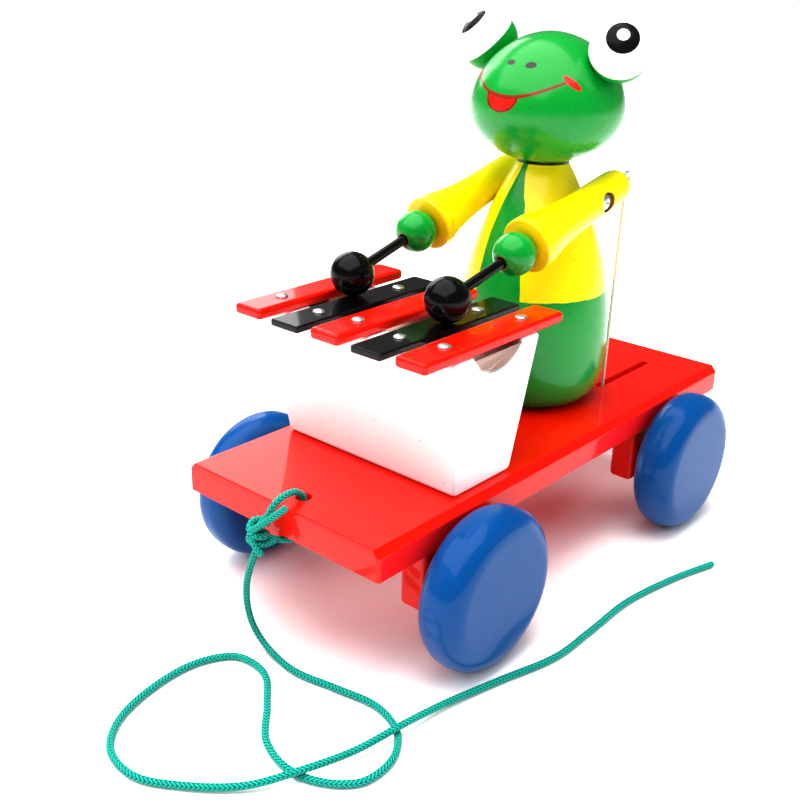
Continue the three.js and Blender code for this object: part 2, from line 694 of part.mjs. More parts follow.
function shoulderScrewGeometry(hand) {
  const head = Math.abs(recessFloorX(hand)) + RUN;
  const profile = [
    [0, SHOULDER_SCREW_END_X], [SHOULDER_SCREW_RADIUS, SHOULDER_SCREW_END_X + 3],
    [SHOULDER_SCREW_RADIUS, head], [SHOULDER_SCREW_HEAD_RADIUS, head],
    [SHOULDER_SCREW_HEAD_RADIUS * 0.8, head + SHOULDER_SCREW_HEAD_HEIGHT * 0.75],
    [0, head + SHOULDER_SCREW_HEAD_HEIGHT],
  ];
  const screw = turned(profile, 12);
  screw.rotateY(SIDES[hand] * Math.PI / 2);
  screw.translate(0, FROG_Y, SHOULDER_Z);
  return screw;
}

function ballOnArm(hand, distance, radius, seatFrom, seatTo) {
  const ball = sphere(alongArm(hand, distance).toArray(), radius, 14, 10);
  const seat = rod(
    alongArm(hand, seatFrom).toArray(),
    alongArm(hand, seatTo).toArray(),
    STICK_RADIUS + GAP / 2,
    10,
  );
  return cut(ball, seat);
}

const ringCentre = (hand) => alongArm(hand, -ARM_TAIL - GAP - EYELET_RING_RADIUS).toArray();

// A wire ring that stands upright on a shank in the arm's tail.
function eyeletGeometry(hand) {
  const ring = new THREE.TorusGeometry(EYELET_RING_RADIUS, EYELET_WIRE_RADIUS, 6, 12);
  ring.rotateY(Math.PI / 2);
  ring.translate(...ringCentre(hand));
  const shank = rod(
    alongArm(hand, -ARM_TAIL - GAP).toArray(),
    alongArm(hand, -ARM_TAIL + EYELET_SHANK).toArray(),
    EYELET_WIRE_RADIUS,
    6,
  );
  return join(ring, shank);
}

// The thread runs from under the ring towards the crank pin, through the slot in the deck.
function threadGeometry(hand) {
  const ring = new THREE.Vector3(...ringCentre(hand));
  const pin = new THREE.Vector3(...crankPin(SIDES[hand]));
  const down = pin.clone().sub(ring).normalize();
  const below = EYELET_RING_RADIUS + EYELET_WIRE_RADIUS + GAP;
  const start = ring.clone().addScaledVector(down, below);
  const stop = DECK_UNDERSIDE + THREAD_END_HEIGHT;
  const end = ring.clone().addScaledVector(down, (stop - ring.z) / down.z);
  return rod(start.toArray(), end.toArray(), THREAD_RADIUS, 8);
}

function addArm(hand) {
  place(`arm_${hand}`, armGeometry(hand), 'yellow');
  place(`shoulder_screw_${hand}`, shoulderScrewGeometry(hand), 'steel');
  const handSeatDepth = HAND_DISTANCE + HAND_RADIUS - STICK_SEAT;
  const malletSeatDepth = MALLET_DISTANCE - MALLET_RADIUS + STICK_SEAT;
  place(
    `hand_${hand}`,
    ballOnArm(hand, HAND_DISTANCE, HAND_RADIUS, handSeatDepth - GAP, MALLET_DISTANCE),
    'green',
  );
  place(
    `mallet_head_${hand}`,
    ballOnArm(hand, MALLET_DISTANCE, MALLET_RADIUS, HAND_DISTANCE, malletSeatDepth + GAP),
    'black',
  );
  const stick = rod(
    alongArm(hand, handSeatDepth).toArray(),
    alongArm(hand, malletSeatDepth).toArray(),
    STICK_RADIUS,
    12,
  );
  place(`mallet_stick_${hand}`, stick, 'black');
  place(`tail_eyelet_${hand}`, eyeletGeometry(hand), 'steel');
  place(`pull_thread_${hand}`, threadGeometry(hand), 'thread');
}

// ---------------------------------------------------------------- pull cord
function addCord() {
  const lump = sphere([0, 0, 0], 1, 12, 8);
  lump.scale(...KNOT_RADII);
  lump.translate(...KNOT_CENTRE);
  const tails = KNOT_TAILS.map((route) => tube(route, CORD_DIAMETER, CORD_SIDES, 3));
  place('cord_knot', join(lump, ...tails), 'cord');
  place('cord_loop', tube(LOOP_ROUTE, CORD_DIAMETER, CORD_SIDES, 16), 'cord');
  place('pull_cord', tube(CORD_ROUTE, CORD_DIAMETER, CORD_SIDES, CORD_STEPS), 'cord');
}

addCart();
addXylophone();
addFrog();
addArm('left');
addArm('right');
addCord();

export default toy;
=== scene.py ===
import json
import math

import bpy
import numpy as np
from mathutils import Matrix, Vector
from mathutils.geometry import tessellate_polygon


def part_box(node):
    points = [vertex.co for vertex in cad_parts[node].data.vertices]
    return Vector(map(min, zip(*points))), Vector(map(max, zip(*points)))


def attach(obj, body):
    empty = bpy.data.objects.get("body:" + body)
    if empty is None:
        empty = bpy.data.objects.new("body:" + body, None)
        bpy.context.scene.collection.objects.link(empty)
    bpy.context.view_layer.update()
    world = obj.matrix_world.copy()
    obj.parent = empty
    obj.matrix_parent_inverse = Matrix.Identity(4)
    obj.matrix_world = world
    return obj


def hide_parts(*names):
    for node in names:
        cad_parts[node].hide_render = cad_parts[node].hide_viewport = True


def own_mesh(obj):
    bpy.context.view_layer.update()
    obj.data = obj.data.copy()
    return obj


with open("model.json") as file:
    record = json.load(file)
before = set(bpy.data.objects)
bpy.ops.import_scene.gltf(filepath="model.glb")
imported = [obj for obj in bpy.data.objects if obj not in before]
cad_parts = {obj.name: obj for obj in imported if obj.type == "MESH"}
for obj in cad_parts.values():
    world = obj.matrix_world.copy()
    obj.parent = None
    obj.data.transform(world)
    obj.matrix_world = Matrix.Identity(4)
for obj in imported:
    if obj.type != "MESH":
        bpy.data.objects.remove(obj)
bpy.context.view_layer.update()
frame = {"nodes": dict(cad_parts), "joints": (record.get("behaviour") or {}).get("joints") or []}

MM = 0.001
SIDES = {"left": -1, "right": 1}
JOINTS = {joint["name"]: joint for joint in frame["joints"]}


# ---------------------------------------------------------------- camera
def set_camera():
    """A camera at a three-quarter view from the cord end, a little above the toy and turned slightly
    clockwise."""
    azimuth, elevation, roll = (math.radians(a) for a in (41.12, 22.76, 1.33))
    back = Vector((math.sin(azimuth) * math.cos(elevation), -math.cos(azimuth) * math.cos(elevation),
                   math.sin(elevation)))
    right = (-back).cross(Vector((0, 0, 1))).normalized()
    up = right.cross(-back)
    rolled_right = right * math.cos(roll) + up * math.sin(roll)
    rolled_up = up * math.cos(roll) - right * math.sin(roll)
    data = bpy.data.cameras.new("camera")
    data.sensor_width = 36
    data.lens = 47.59
    data.clip_start = 0.01
    data.clip_end = 20
    camera = bpy.data.objects.new("camera", data)
    turn = Matrix((rolled_right, rolled_up, back)).transposed()
    camera.matrix_world = Matrix.Translation((0.2516, -0.3442, 0.2419)) @ turn.to_4x4()
    bpy.context.scene.collection.objects.link(camera)
    bpy.context.scene.camera = camera


set_camera()


# ---------------------------------------------------------------- surfaces
def smooth_curve(points, step):
    """Points a step apart on a curve through the given points: on each span a cubic whose end slopes follow
    the neighbours."""
    p = np.array(points, float)
    p = np.vstack([2 * p[0] - p[1], p, 2 * p[-1] - p[-2]])
    gap = np.sqrt(np.linalg.norm(np.diff(p, axis=0), axis=1))
    spans = []
    for i in range(1, len(p) - 2):
        a, b, c = gap[i - 1:i + 2]
        slope_in = b * ((p[i] - p[i - 1]) / a - (p[i + 1] - p[i - 1]) / (a + b) + (p[i + 1] - p[i]) / b)
        slope_out = b * ((p[i + 1] - p[i]) / b - (p[i + 2] - p[i]) / (b + c) + (p[i + 2] - p[i + 1]) / c)
        t = np.linspace(0, 1, 40, endpoint=False)[:, None]
        spans.append((2 * t**3 - 3 * t**2 + 1) * p[i] + (t**3 - 2 * t**2 + t) * slope_in
                     + (3 * t**2 - 2 * t**3) * p[i + 1] + (t**3 - t**2) * slope_out)
    fine = np.vstack(spans + [p[-2:-1]])
    run = np.concatenate([[0], np.cumsum(np.linalg.norm(np.diff(fine, axis=0), axis=1))])
    count = max(int(round(run[-1] / step)), 4) + 1
    return np.column_stack([np.interp(np.linspace(0, run[-1], count), run, fine[:, k]) for k in range(3)])


def frames_along(path):
    """At each point of a path, its direction and two square directions that turn as little as possible from
    point to point."""
    along = np.gradient(path, axis=0)
    along /= np.linalg.norm(along, axis=1)[:, None]
    side = np.zeros_like(along)
    first = np.cross(along[0], (0, 0, 1) if abs(along[0][2]) < 0.9 else (0, 1, 0))
    side[0] = first / np.linalg.norm(first)
    for i in range(1, len(path)):
        v = side[i - 1] - along[i] * np.dot(side[i - 1], along[i])
        side[i] = v / np.linalg.norm(v)
    return along, side, np.cross(along, side)


def skin(rings, caps="pole"):
    """Vertices and faces of a closed surface through rings of points; its two ends close on a middle point
    or as flat faces."""
    m, n, _ = rings.shape
    i = np.arange(m - 1)[:, None] * n
    j = np.arange(n)[None, :]
    k = (j + 1) % n
    quads = np.stack([i + j, i + k, i + n + k, i + n + j], axis=-1).reshape(-1, 4)
    verts = rings.reshape(-1, 3)
    faces = [tuple(q) for q in quads.tolist()]
    last = (m - 1) * n
    if caps == "flat":
        faces += [tuple(range(n))[::-1], tuple(range(last, last + n))]
    else:
        verts = np.vstack([verts, rings[0].mean(0), rings[-1].mean(0)])
        faces += [(int(b), int(a), m * n) for a, b in zip(j[0], k[0])]
        faces += [(int(last + a), int(last + b), m * n + 1) for a, b in zip(j[0], k[0])]
    return verts, faces


def join(*parts):
    """Several (vertices, faces) pairs as one."""
    verts, faces, base = [], [], 0
    for v, f in parts:
        verts.append(v)
        faces += [tuple(i + base for i in face) for face in f]
        base += len(v)
    return np.vstack(verts), faces


def turned(profile, around=96, origin=(0, 0, 0), direction=(0, 0, 1), ripple=None):
    """A profile of (radius, height) rows turned about a line through origin along direction; ripple scales
    the radius by angle."""
    profile = np.array(profile, float)
    z = np.array(direction, float) / np.linalg.norm(direction)
    x = np.cross((0, 1, 0) if abs(z[1]) < 0.9 else (1, 0, 0), z)
    x /= np.linalg.norm(x)
    y = np.cross(z, x)
    angle = 2 * np.pi * np.arange(around) / around
    radius = profile[:, :1] * (np.ones(around) if ripple is None else ripple(angle))[None, :]
    ring = (radius[..., None] * (np.cos(angle)[None, :, None] * x + np.sin(angle)[None, :, None] * y)
            + profile[:, 1, None, None] * z + np.array(origin, float))
    keep = profile[:, 0] > 1e-7
    verts, faces = skin(ring[keep])
    for pole, row in ((-2, 0), (-1, -1)):
        verts[pole] = profile[row, 1] * z + np.array(origin, float)
    return verts, faces


def arc(centre, radius, start, end, steps):
    """Points of a circular arc in a plane, from one angle to another in degrees."""
    a = np.radians(np.linspace(start, end, steps))
    return np.column_stack([centre[0] + radius * np.cos(a), centre[1] + radius * np.sin(a)])


def rounded_rectangle(width, depth, radius, centre=(0, 0), steps=7):
    """The outline of a rectangle whose four corners are quarter circles."""
    x, y = width / 2 - radius, depth / 2 - radius
    corners = [((x, y), 0), ((-x, y), 90), ((-x, -y), 180), ((x, -y), 270)]
    return np.vstack([arc(c, radius, a, a + 90, steps) for c, a in corners]) + np.array(centre)


def board(rows, holes=()):
    """A board whose outline changes with height: rows of (outline, height) from bottom to top, with walls
    for each hole and flat faces filled between the outline and the holes."""
    def stack(part):
        return np.stack([np.column_stack([outline, np.full(len(outline), z)]) for outline, z in part])
    shells = [stack(rows)] + [stack(hole) for hole in holes]
    verts = np.vstack([s.reshape(-1, 3) for s in shells])
    faces, base, low, high = [], 0, [], []
    for number, s in enumerate(shells):
        m, n, _ = s.shape
        i = np.arange(m - 1)[:, None] * n + base
        j = np.arange(n)[None, :]
        k = (j + 1) % n
        quads = np.stack([i + j, i + k, i + n + k, i + n + j], axis=-1).reshape(-1, 4)
        faces += [tuple(q) for q in (quads[:, ::-1] if number else quads).tolist()]
        low.append(list(range(base, base + n)))
        high.append(list(range(base + (m - 1) * n, base + m * n)))
        base += m * n
    for loops, up in ((low, -1), (high, 1)):
        order = [v for loop in loops for v in loop]
        for tri in tessellate_polygon([[Vector(verts[v]) for v in loop] for loop in loops]):
            a, b, c = (order[t] for t in tri)
            turn = np.cross(verts[b] - verts[a], verts[c] - verts[a])[2]
            faces.append((a, b, c) if turn * up > 0 else (c, b, a))
    return verts, faces


def make(name, surface, body, material, stands_for=(), crease=None):
    """A named piece from vertices and faces in metres, faces out, smooth except at edges sharper than crease
    degrees."""
    verts, faces = surface
    mesh = bpy.data.meshes.new(name)
    mesh.from_pydata(np.asarray(verts, float).tolist(), [], faces)
    mesh.validate()
    mesh.polygons.foreach_set("use_smooth", np.ones(len(mesh.polygons), bool))
    piece = bpy.data.objects.new(name, mesh)
    bpy.context.scene.collection.objects.link(piece)
    face_out(mesh)
    if crease is not None:
        mesh.set_sharp_from_angle(angle=math.radians(crease))
        weighted = piece.modifiers.new("flat faces", "WEIGHTED_NORMAL")
        weighted.keep_sharp = True
        weighted.weight = 100
    mesh.materials.append(material)
    if body:
        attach(piece, body)
    if stands_for:
        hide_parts(*stands_for)
    return piece


def face_out(mesh):
    """Turns a closed mesh's faces outwards when its signed volume is negative."""
    mesh.calc_loop_triangles()
    co = np.zeros(len(mesh.vertices) * 3)
    mesh.vertices.foreach_get("co", co)
    tri = np.zeros(len(mesh.loop_triangles) * 3, np.int32)
    mesh.loop_triangles.foreach_get("vertices", tri)
    a, b, c = co.reshape(-1, 3)[tri.reshape(-1, 3)].transpose(1, 0, 2)
    if np.einsum("ij,ij->i", a, np.cross(b, c)).sum() < 0:
        mesh.flip_normals()


def carve(piece, *cutters):
    """Cuts closed surfaces out of a piece and keeps the result as its mesh."""
    for number, cutter in enumerate(cutters):
        tool = make(f"cutter_{number}", cutter, None, piece.data.materials[0])
        modifier = piece.modifiers.new("cut", "BOOLEAN")
        modifier.operation = "DIFFERENCE"
        modifier.solver = "EXACT"
        modifier.object = tool
        bpy.context.view_layer.update()
        result = bpy.data.meshes.new_from_object(piece.evaluated_get(bpy.context.evaluated_depsgraph_get()))
        piece.modifiers.remove(modifier)
        piece.data = result
        bpy.data.objects.remove(tool)
    piece.data.set_sharp_from_angle(angle=math.radians(35))


def ball(centre, radius, direction=(0, 0, 1), around=96, rows=64):
    """A sphere whose pole lies along direction."""
    a = np.linspace(-np.pi / 2, np.pi / 2, rows)
    return turned(np.column_stack([radius * np.cos(a).clip(0), radius * np.sin(a)]), around, centre,
                  direction)


def middle(node):
    low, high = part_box(node)
    return (low + high) / 2


# ---------------------------------------------------------------- shader arithmetic
class Link:
    """One output of a shader node. Arithmetic on it adds Math nodes; mix and node reach the rest."""

    def __init__(self, tree, socket):
        self.tree, self.socket = tree, socket

    def node(self, kind, settings, inputs, output=0):
        return add_node(self.tree, kind, settings, inputs, output)

    def math(self, operation, *terms, clamp=False):
        return self.node("ShaderNodeMath", {"operation": operation, "use_clamp": clamp},
                         dict(enumerate(terms)))

    def __add__(self, other): return self.math("ADD", self, other)
    def __radd__(self, other): return self.math("ADD", other, self)
    def __sub__(self, other): return self.math("SUBTRACT", self, other)
    def __rsub__(self, other): return self.math("SUBTRACT", other, self)
    def __mul__(self, other): return self.math("MULTIPLY", self, other)
    def __rmul__(self, other): return self.math("MULTIPLY", other, self)
    def __truediv__(self, other): return self.math("DIVIDE", self, other)
    def __rtruediv__(self, other): return self.math("DIVIDE", other, self)
    def __pow__(self, other): return self.math("POWER", self, other)
    def __neg__(self): return self.math("MULTIPLY", self, -1)
    def __abs__(self): return self.math("ABSOLUTE", self)

    def below(self, limit, soft):
        """1 where this is under the limit, 0 over it, with a soft step."""
        return self.math("MULTIPLY_ADD", self - limit, -1 / soft, 0.5, clamp=True)

    def above(self, limit, soft):
        return self.math("MULTIPLY_ADD", self - limit, 1 / soft, 0.5, clamp=True)


def add_node(tree, kind, settings, inputs, output=0):
    """A node of a kind with its settings made first, then its inputs filled with values or links; returns
    one output as a Link."""
    node = tree.nodes.new(kind)
    for key, value in settings.items():
        if key == "stops":
            ramp = node.color_ramp
            ramp.elements[0].position, ramp.elements[-1].position = value[0][0], value[-1][0]
            for position, _ in value[1:-1]:
                ramp.elements.new(position)
            for element, (_, colour) in zip(ramp.elements, value):
                element.color = colour if hasattr(colour, "__len__") else (colour, colour, colour, 1)
        elif key == "interpolation":
            node.color_ramp.interpolation = value
        else:
            setattr(node, key, value)
    for key, value in inputs.items():
        socket = node.inputs[key]
        if isinstance(value, Link):
            tree.links.new(value.socket, socket)
        elif hasattr(value, "__len__") and len(value) == 3 and socket.type == "RGBA":
            socket.default_value = (*value, 1)
        else:
            socket.default_value = value
    return Link(tree, node.outputs[output]) if len(node.outputs) else None


class Finish:
    """A material being made: coordinates in metres, patterns, and the one surface shader."""

    def __init__(self, name):
        self.material = bpy.data.materials.new(name)
        self.material.use_nodes = True
        self.tree = self.material.node_tree
        self.tree.nodes.clear()
        self.place = self.node("ShaderNodeTexCoord", {}, {}, "Object")

    def node(self, kind, settings, inputs, output=0):
        return add_node(self.tree, kind, settings, inputs, output)

    def axes(self, centre=(0, 0, 0)):
        """x, y and z in metres from a centre."""
        moved = self.node("ShaderNodeVectorMath", {"operation": "SUBTRACT"},
                          {0: self.place, 1: tuple(centre)})
        return [self.node("ShaderNodeSeparateXYZ", {}, {0: moved}, k) for k in range(3)]

    def along(self, centre, direction):
        """Distance from a centre along a direction, in metres."""
        moved = self.node("ShaderNodeVectorMath", {"operation": "SUBTRACT"},
                          {0: self.place, 1: tuple(centre)})
        return self.node("ShaderNodeVectorMath", {"operation": "DOT_PRODUCT"},
                         {0: moved, 1: tuple(direction)}, "Value")

    def noise(self, size, stretch=(1, 1, 1), detail=2.0, roughness=0.5, seed=0.0):
        """Noise with features of about a size in metres, drawn out along an axis by stretch."""
        scaled = self.node("ShaderNodeMapping", {},
                           {0: self.place, "Scale": tuple(1 / s for s in stretch),
                            "Location": (seed, seed, seed)})
        return self.node("ShaderNodeTexNoise", {},
                         {"Vector": scaled, "Scale": 1 / size, "Detail": detail, "Roughness": roughness},
                         "Fac")

    def mix(self, share, first, second):
        """A colour between two colours by a share."""
        return self.node("ShaderNodeMix", {"data_type": "RGBA"}, {0: share, 6: first, 7: second}, 2)

    def bump(self, height, distance, strength=1.0, normal=None):
        inputs = {"Height": height, "Distance": distance, "Strength": strength}
        if normal is not None:
            inputs["Normal"] = normal
        return self.node("ShaderNodeBump", {}, inputs, "Normal")

    def surface(self, **inputs):
        named = {key.replace("_", " "): value for key, value in inputs.items()}
        shader = self.node("ShaderNodeBsdfPrincipled", {}, named)
        self.node("ShaderNodeOutputMaterial", {}, {"Surface": shader})
        return self.material


def rgb(*values):
    """A display colour from 0 to 255 as linear light."""
    return tuple((v / 255 / 12.92) if v <= 10 else ((v / 255 + 0.055) / 1.055) ** 2.4 for v in values)


RED = rgb(230, 20, 0)
BLUE = rgb(0, 76, 138)
GREEN = rgb(2, 148, 52)
YELLOW = rgb(252, 232, 4)
WHITE = rgb(248, 246, 244)
BLACK = rgb(7, 7, 7)


def painted(finish, colour, stretch=(1, 1, 1), roughness=0.22, mottle=0.05, peel=0.35, grain=0.5, coat=0.22,
            specular=0.22):
    """Brushed gloss paint on turned or sawn wood: slow drifts of tone, faint grain showing through, orange
    peel, a few specks."""
    drift = finish.noise(0.018, stretch, detail=3)
    pores = finish.noise(0.0011, stretch, detail=2, seed=3.0)
    specks = finish.noise(0.0016, detail=1, seed=7.0).above(0.755, 0.02)
    darker = finish.node("ShaderNodeVectorMath", {"operation": "SCALE"},
                         {0: colour, "Scale": 1 - mottle * (drift * 2)})
    fleck = finish.mix(specks * 0.3, darker, rgb(60, 20, 10))
    peel_height = finish.noise(0.0016, detail=2, seed=1.0) * peel + pores * (0.22 * grain) + drift * 0.9
    shine = roughness + 0.10 * (finish.noise(0.006, stretch, detail=2, seed=5.0) - 0.35)
    return finish.surface(
        Base_Color=fleck, Roughness=shine, Normal=finish.bump(peel_height, 0.00012, 0.55),
        Coat_Weight=coat, Coat_Roughness=0.05, Specular_IOR_Level=specular,
    )


def red_paint():
    return painted(Finish("red_paint"), RED, stretch=(1, 14, 1), roughness=0.3, mottle=0.07, peel=0.6,
                   grain=0.7, coat=0.5, specular=0.08)


def blue_paint():
    return painted(Finish("blue_paint"), BLUE, roughness=0.34, mottle=0.05, peel=0.8, coat=0.3, specular=0.1)


def white_paint():
    """White paint; greyish pink in the round trough: painted shade under the bars and painted red
    reflection.
    """
    finish = Finish("white_paint")
    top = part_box("resonator_block")[1].z
    _, y, z = finish.axes((0, middle("resonator_block").y, top + 8 * MM))
    ragged = finish.noise(0.0012, detail=3, seed=8.0) * 0.9
    # painted shade and painted reflection: the trough is coloured greyish pink for the shade under the bars
    # and the red they reflect
    trough = (((y / MM) ** 2 + (z / MM) ** 2) ** 0.5 - ragged).below(15.9, 0.3)
    colour = finish.mix(trough, WHITE, rgb(214, 176, 162))
    return painted(finish, colour, stretch=(1, 1, 5), roughness=0.4, mottle=0.012, coat=0.1)


def black_paint():
    return painted(Finish("black_paint"), BLACK, stretch=(1, 10, 1), roughness=0.3, mottle=0.2, peel=0.4,
                   coat=0.5, specular=0.05)


def steel():
    finish = Finish("steel")
    brushed = finish.noise(0.0004, (1, 1, 6), detail=3)
    tone = finish.mix(brushed, rgb(205, 207, 210), rgb(248, 249, 250))
    return finish.surface(Base_Color=tone, Metallic=1.0, Roughness=0.3 + 0.18 * brushed,
                          Normal=finish.bump(brushed, 0.00003, 0.4))


def bare_wood():
    finish = Finish("bare_wood")
    rings = finish.noise(0.0012, (1, 1, 12), detail=4)
    tone = finish.mix(rings, rgb(190, 140, 84), rgb(226, 186, 130))
    return finish.surface(Base_Color=tone, Roughness=0.55 + 0.2 * rings,
                          Normal=finish.bump(rings, 0.0001, 0.5))


RED_PAINT, BLUE_PAINT, WHITE_PAINT, BLACK_PAINT = red_paint(), blue_paint(), white_paint(), black_paint()
STEEL, WOOD = steel(), bare_wood()


# ---------------------------------------------------------------- cord
CORD_DIAMETER = 2.6 * MM
LOOP_ROUTE = [
    (0.9, -126.3, 58.7), (1.8, -125.6, 61.4), (2.6, -123.4, 64), (3, -120, 65.2), (3, -115.6, 64.9),
    (3, -111.9, 62.2), (3, -111, 58), (3, -111, 53), (3, -111.4, 48.8), (2.7, -113.6, 46.2),
    (1.7, -117, 45.6), (0.3, -120.4, 46.6),
]
CORD_ROUTE = [
    (-4, -128, 44.4), (-6.6, -129, 36), (-8.8, -129.3, 27.5), (-9.2, -129, 18.5), (-7.8, -128, 10.3),
    (-3.4, -127.4, 4.6), (5.6, -128.1, 1.7), (17.1, -128.9, 1.4), (34.3, -125.5, 1.4),
    (51.5, -123, 1.4), (65.2, -128.2, 1.4), (72.6, -139, 1.4), (72.4, -152.9, 1.4),
    (62.6, -162, 1.4), (50.1, -164.8, 1.4), (36.1, -160.7, 1.4), (22.7, -148.4, 1.4),
    (8.3, -137.2, 1.4), (-6.1, -137.6, 1.4), (-13.6, -149.3, 1.4), (-14.1, -167.8, 1.4),
    (-7.8, -188.1, 1.4), (2.8, -198.4, 1.4), (18.1, -200.1, 1.4), (32.8, -192.2, 1.5),
    (47.7, -179.6, 2.4), (57.4, -163.6, 4.3), (62.6, -145.1, 3.4), (66.1, -126.7, 4.3),
    (67.9, -107.3, 2.4), (73.6, -82.2, 1.5), (80.5, -56.3, 1.4), (81, -33, 1.4), (81, -5, 1.4),
    (86.5, 24.9, 1.4), (92.9, 46.3, 1.4),
]
KNOT_ROUTES = [
    # standing part: from the loop's upper leg down through the middle of the knot and out as the free cord
    [(0.9, -126.3, 58.7), (-1.2, -127.0, 56.4), (-2.8, -127.7, 53.4), (-3.4, -128.0, 50.2),
     (-3.8, -128.1, 47.2), (-4, -128, 44.4)],
    # wrap: twice round the standing part, rising to the left
    [(1.4, -123.6, 48.4), (0.6, -126.4, 47.6), (-1.6, -130.0, 47.8), (-4.6, -130.6, 48.6),
     (-6.6, -128.0, 49.4), (-4.6, -125.4, 50.0),
     (-0.9, -125.6, 50.3), (0.2, -128.4, 50.8), (-1.6, -130.6, 51.6), (-4.6, -130.4, 53.2),
     (-5.6, -127.6, 54.8), (-3.6, -125.0, 55.0),
     (-0.8, -125.0, 54.0)],
    # upper cut tail, out from under the wrap
    [(-3.6, -130.4, 52.6), (-1.2, -130.6, 54.6), (2.0, -129.8, 57.4), (5.5, -128.6, 60.6),
     (10.2, -126.4, 65.2)],
    # lower cut stub
    [(-3.0, -130.4, 50.6), (-1.8, -131.0, 48.4), (-0.2, -130.8, 46.4), (1.4, -130.2, 44.6)],
    # lower leg of the loop, back into the knot
    [(0.3, -120.4, 46.6), (0.2, -122.4, 47.4), (-0.6, -124.8, 48.8), (-2.0, -126.6, 50.2)],
]


def braid(route):
    """A braided cord along a route in millimetres: a round section whose radius swells by the cosine of a
    stitch phase, the length over the pitch plus a zigzag of the angle, which sets rows of V stitches. Its UV
    map holds the angle and the length in pitches."""
    radius, pitch, around = CORD_DIAMETER / 2, 1.5 * MM, 24
    path = smooth_curve(np.array(route) * MM, 0.3 * MM)
    along, side, other = frames_along(path)
    run = np.concatenate([[0], np.cumsum(np.linalg.norm(np.diff(path, axis=0), axis=1))])
    angle = 2 * np.pi * np.arange(around) / around
    zigzag = np.abs((3 * angle / (2 * np.pi)) % 1 - 0.5) * 2
    stitch = np.cos(2 * np.pi * (run[:, None] / pitch + 1.1 * zigzag[None, :]))
    valley = (np.abs(zigzag - 0.5) * 2) ** 4
    swell = radius * (0.96 + 0.045 * stitch - 0.05 * valley)
    across = np.cos(angle)[None, :, None] * side[:, None, :]
    upward = np.sin(angle)[None, :, None] * other[:, None, :]
    ring = path[:, None, :] + swell[..., None] * (across + upward)
    caps = [ring[:1] * 0.2 + path[:1, None, :] * 0.8 - along[:1, None, :] * 0.25 * MM,
            ring[:1] * 0.75 + path[:1, None, :] * 0.25 - along[:1, None, :] * 0.15 * MM]
    tips = [ring[-1:] * 0.75 + path[-1:, None, :] * 0.25 + along[-1:, None, :] * 0.15 * MM,
            ring[-1:] * 0.2 + path[-1:, None, :] * 0.8 + along[-1:, None, :] * 0.25 * MM]
    verts, faces = skin(np.concatenate(caps + [ring] + tips))
    length = np.concatenate([[0, 0], run, [run[-1]] * 2]) / pitch
    uv = np.stack(np.broadcast_arrays(np.arange(around + 1)[None, :] / around, length[:, None]), axis=-1)
    return verts, faces, uv, path


def cord_paint():
    """Turquoise yarn: rows of V stitches, with painted shade darkening the gaps between the rows and the
    finer gaps where two stitches meet."""
    finish = Finish("cord")
    uv = finish.node("ShaderNodeUVMap", {"uv_map": "braid"}, {})
    u = finish.node("ShaderNodeSeparateXYZ", {}, {0: uv}, 0)
    v = finish.node("ShaderNodeSeparateXYZ", {}, {0: uv}, 1)
    zigzag = abs(u.math("FRACT", u * 3) - 0.5) * 2
    phase = (v + zigzag * 1.1) * (2 * math.pi)
    crown = phase.math("COSINE", phase)
    meeting = abs(zigzag - 0.5).above(0.44, 0.1)
    gap = crown.below(-0.4, 0.8).math("MAXIMUM", crown.below(-0.4, 0.8), meeting * 0.8)
    fuzz = finish.noise(0.00025, detail=3)
    # painted shade: the gaps between stitches are coloured dark where the braid's crevices lie in shade
    tone = finish.mix(gap * 0.95, rgb(6, 184, 164), rgb(0, 36, 38))
    tone = finish.mix(fuzz * 0.25, tone, rgb(0, 120, 112))
    height = crown * 0.8 - meeting * 0.4 + fuzz * 0.4
    return finish.surface(Base_Color=tone, Roughness=0.55 + 0.25 * fuzz,
                          Normal=finish.bump(height, 0.00012, 0.7),
                          Sheen_Weight=0.08, Sheen_Roughness=0.4, Specular_IOR_Level=0.3)


CORD_PAINT = cord_paint()


def make_braided(name, routes, body, stands_for):
    """One piece from one or more braided routes, with the braid's UV map."""
    parts = [braid(route) for route in routes]
    piece = make(name, join(*[(v, f) for v, f, _, _ in parts]), body, CORD_PAINT, stands_for)
    layer = piece.data.uv_layers.new(name="braid")
    loops = np.zeros(len(piece.data.loops), np.int32)
    piece.data.loops.foreach_get("vertex_index", loops)
    table = []
    for _, _, uv, _ in parts:
        cols = uv.shape[1] - 1
        flat = np.vstack([uv[:, :cols].reshape(-1, 2), [uv[0, 0], uv[-1, 0]]])
        table.append(flat)
    table = np.vstack(table)[loops]
    starts = np.zeros(len(piece.data.polygons), np.int32)
    totals = np.zeros(len(piece.data.polygons), np.int32)
    piece.data.polygons.foreach_get("loop_start", starts)
    piece.data.polygons.foreach_get("loop_total", totals)
    highest = np.maximum.reduceat(table[:, 0], starts)
    seam = np.repeat(highest > 0.9, totals) & (table[:, 0] < 0.1)
    table[seam, 0] += 1
    layer.data.foreach_set("uv", table.astype(np.float32).ravel())
    return piece, parts


pull_cord, cord_parts = make_braided("pull_cord_braid", [CORD_ROUTE], "cart", ("pull_cord",))
loop_piece, _ = make_braided("cord_loop_braid", [LOOP_ROUTE], "cart", ("cord_loop",))
knot_piece, _ = make_braided("cord_knot_braid", KNOT_ROUTES, "cart", ("cord_knot",))
cord_path = cord_parts[0][3]
tuple(cord_path[0])


# ---------------------------------------------------------------- cart
REAR_AXLE = Vector((0, 72 * MM, 31.5 * MM))
AXLE_RADIUS = 1.6 * MM
BEND_RADIUS = 2.2 * MM
SLOT_X, SLOT_Y = 21.4 * MM, 79.5 * MM


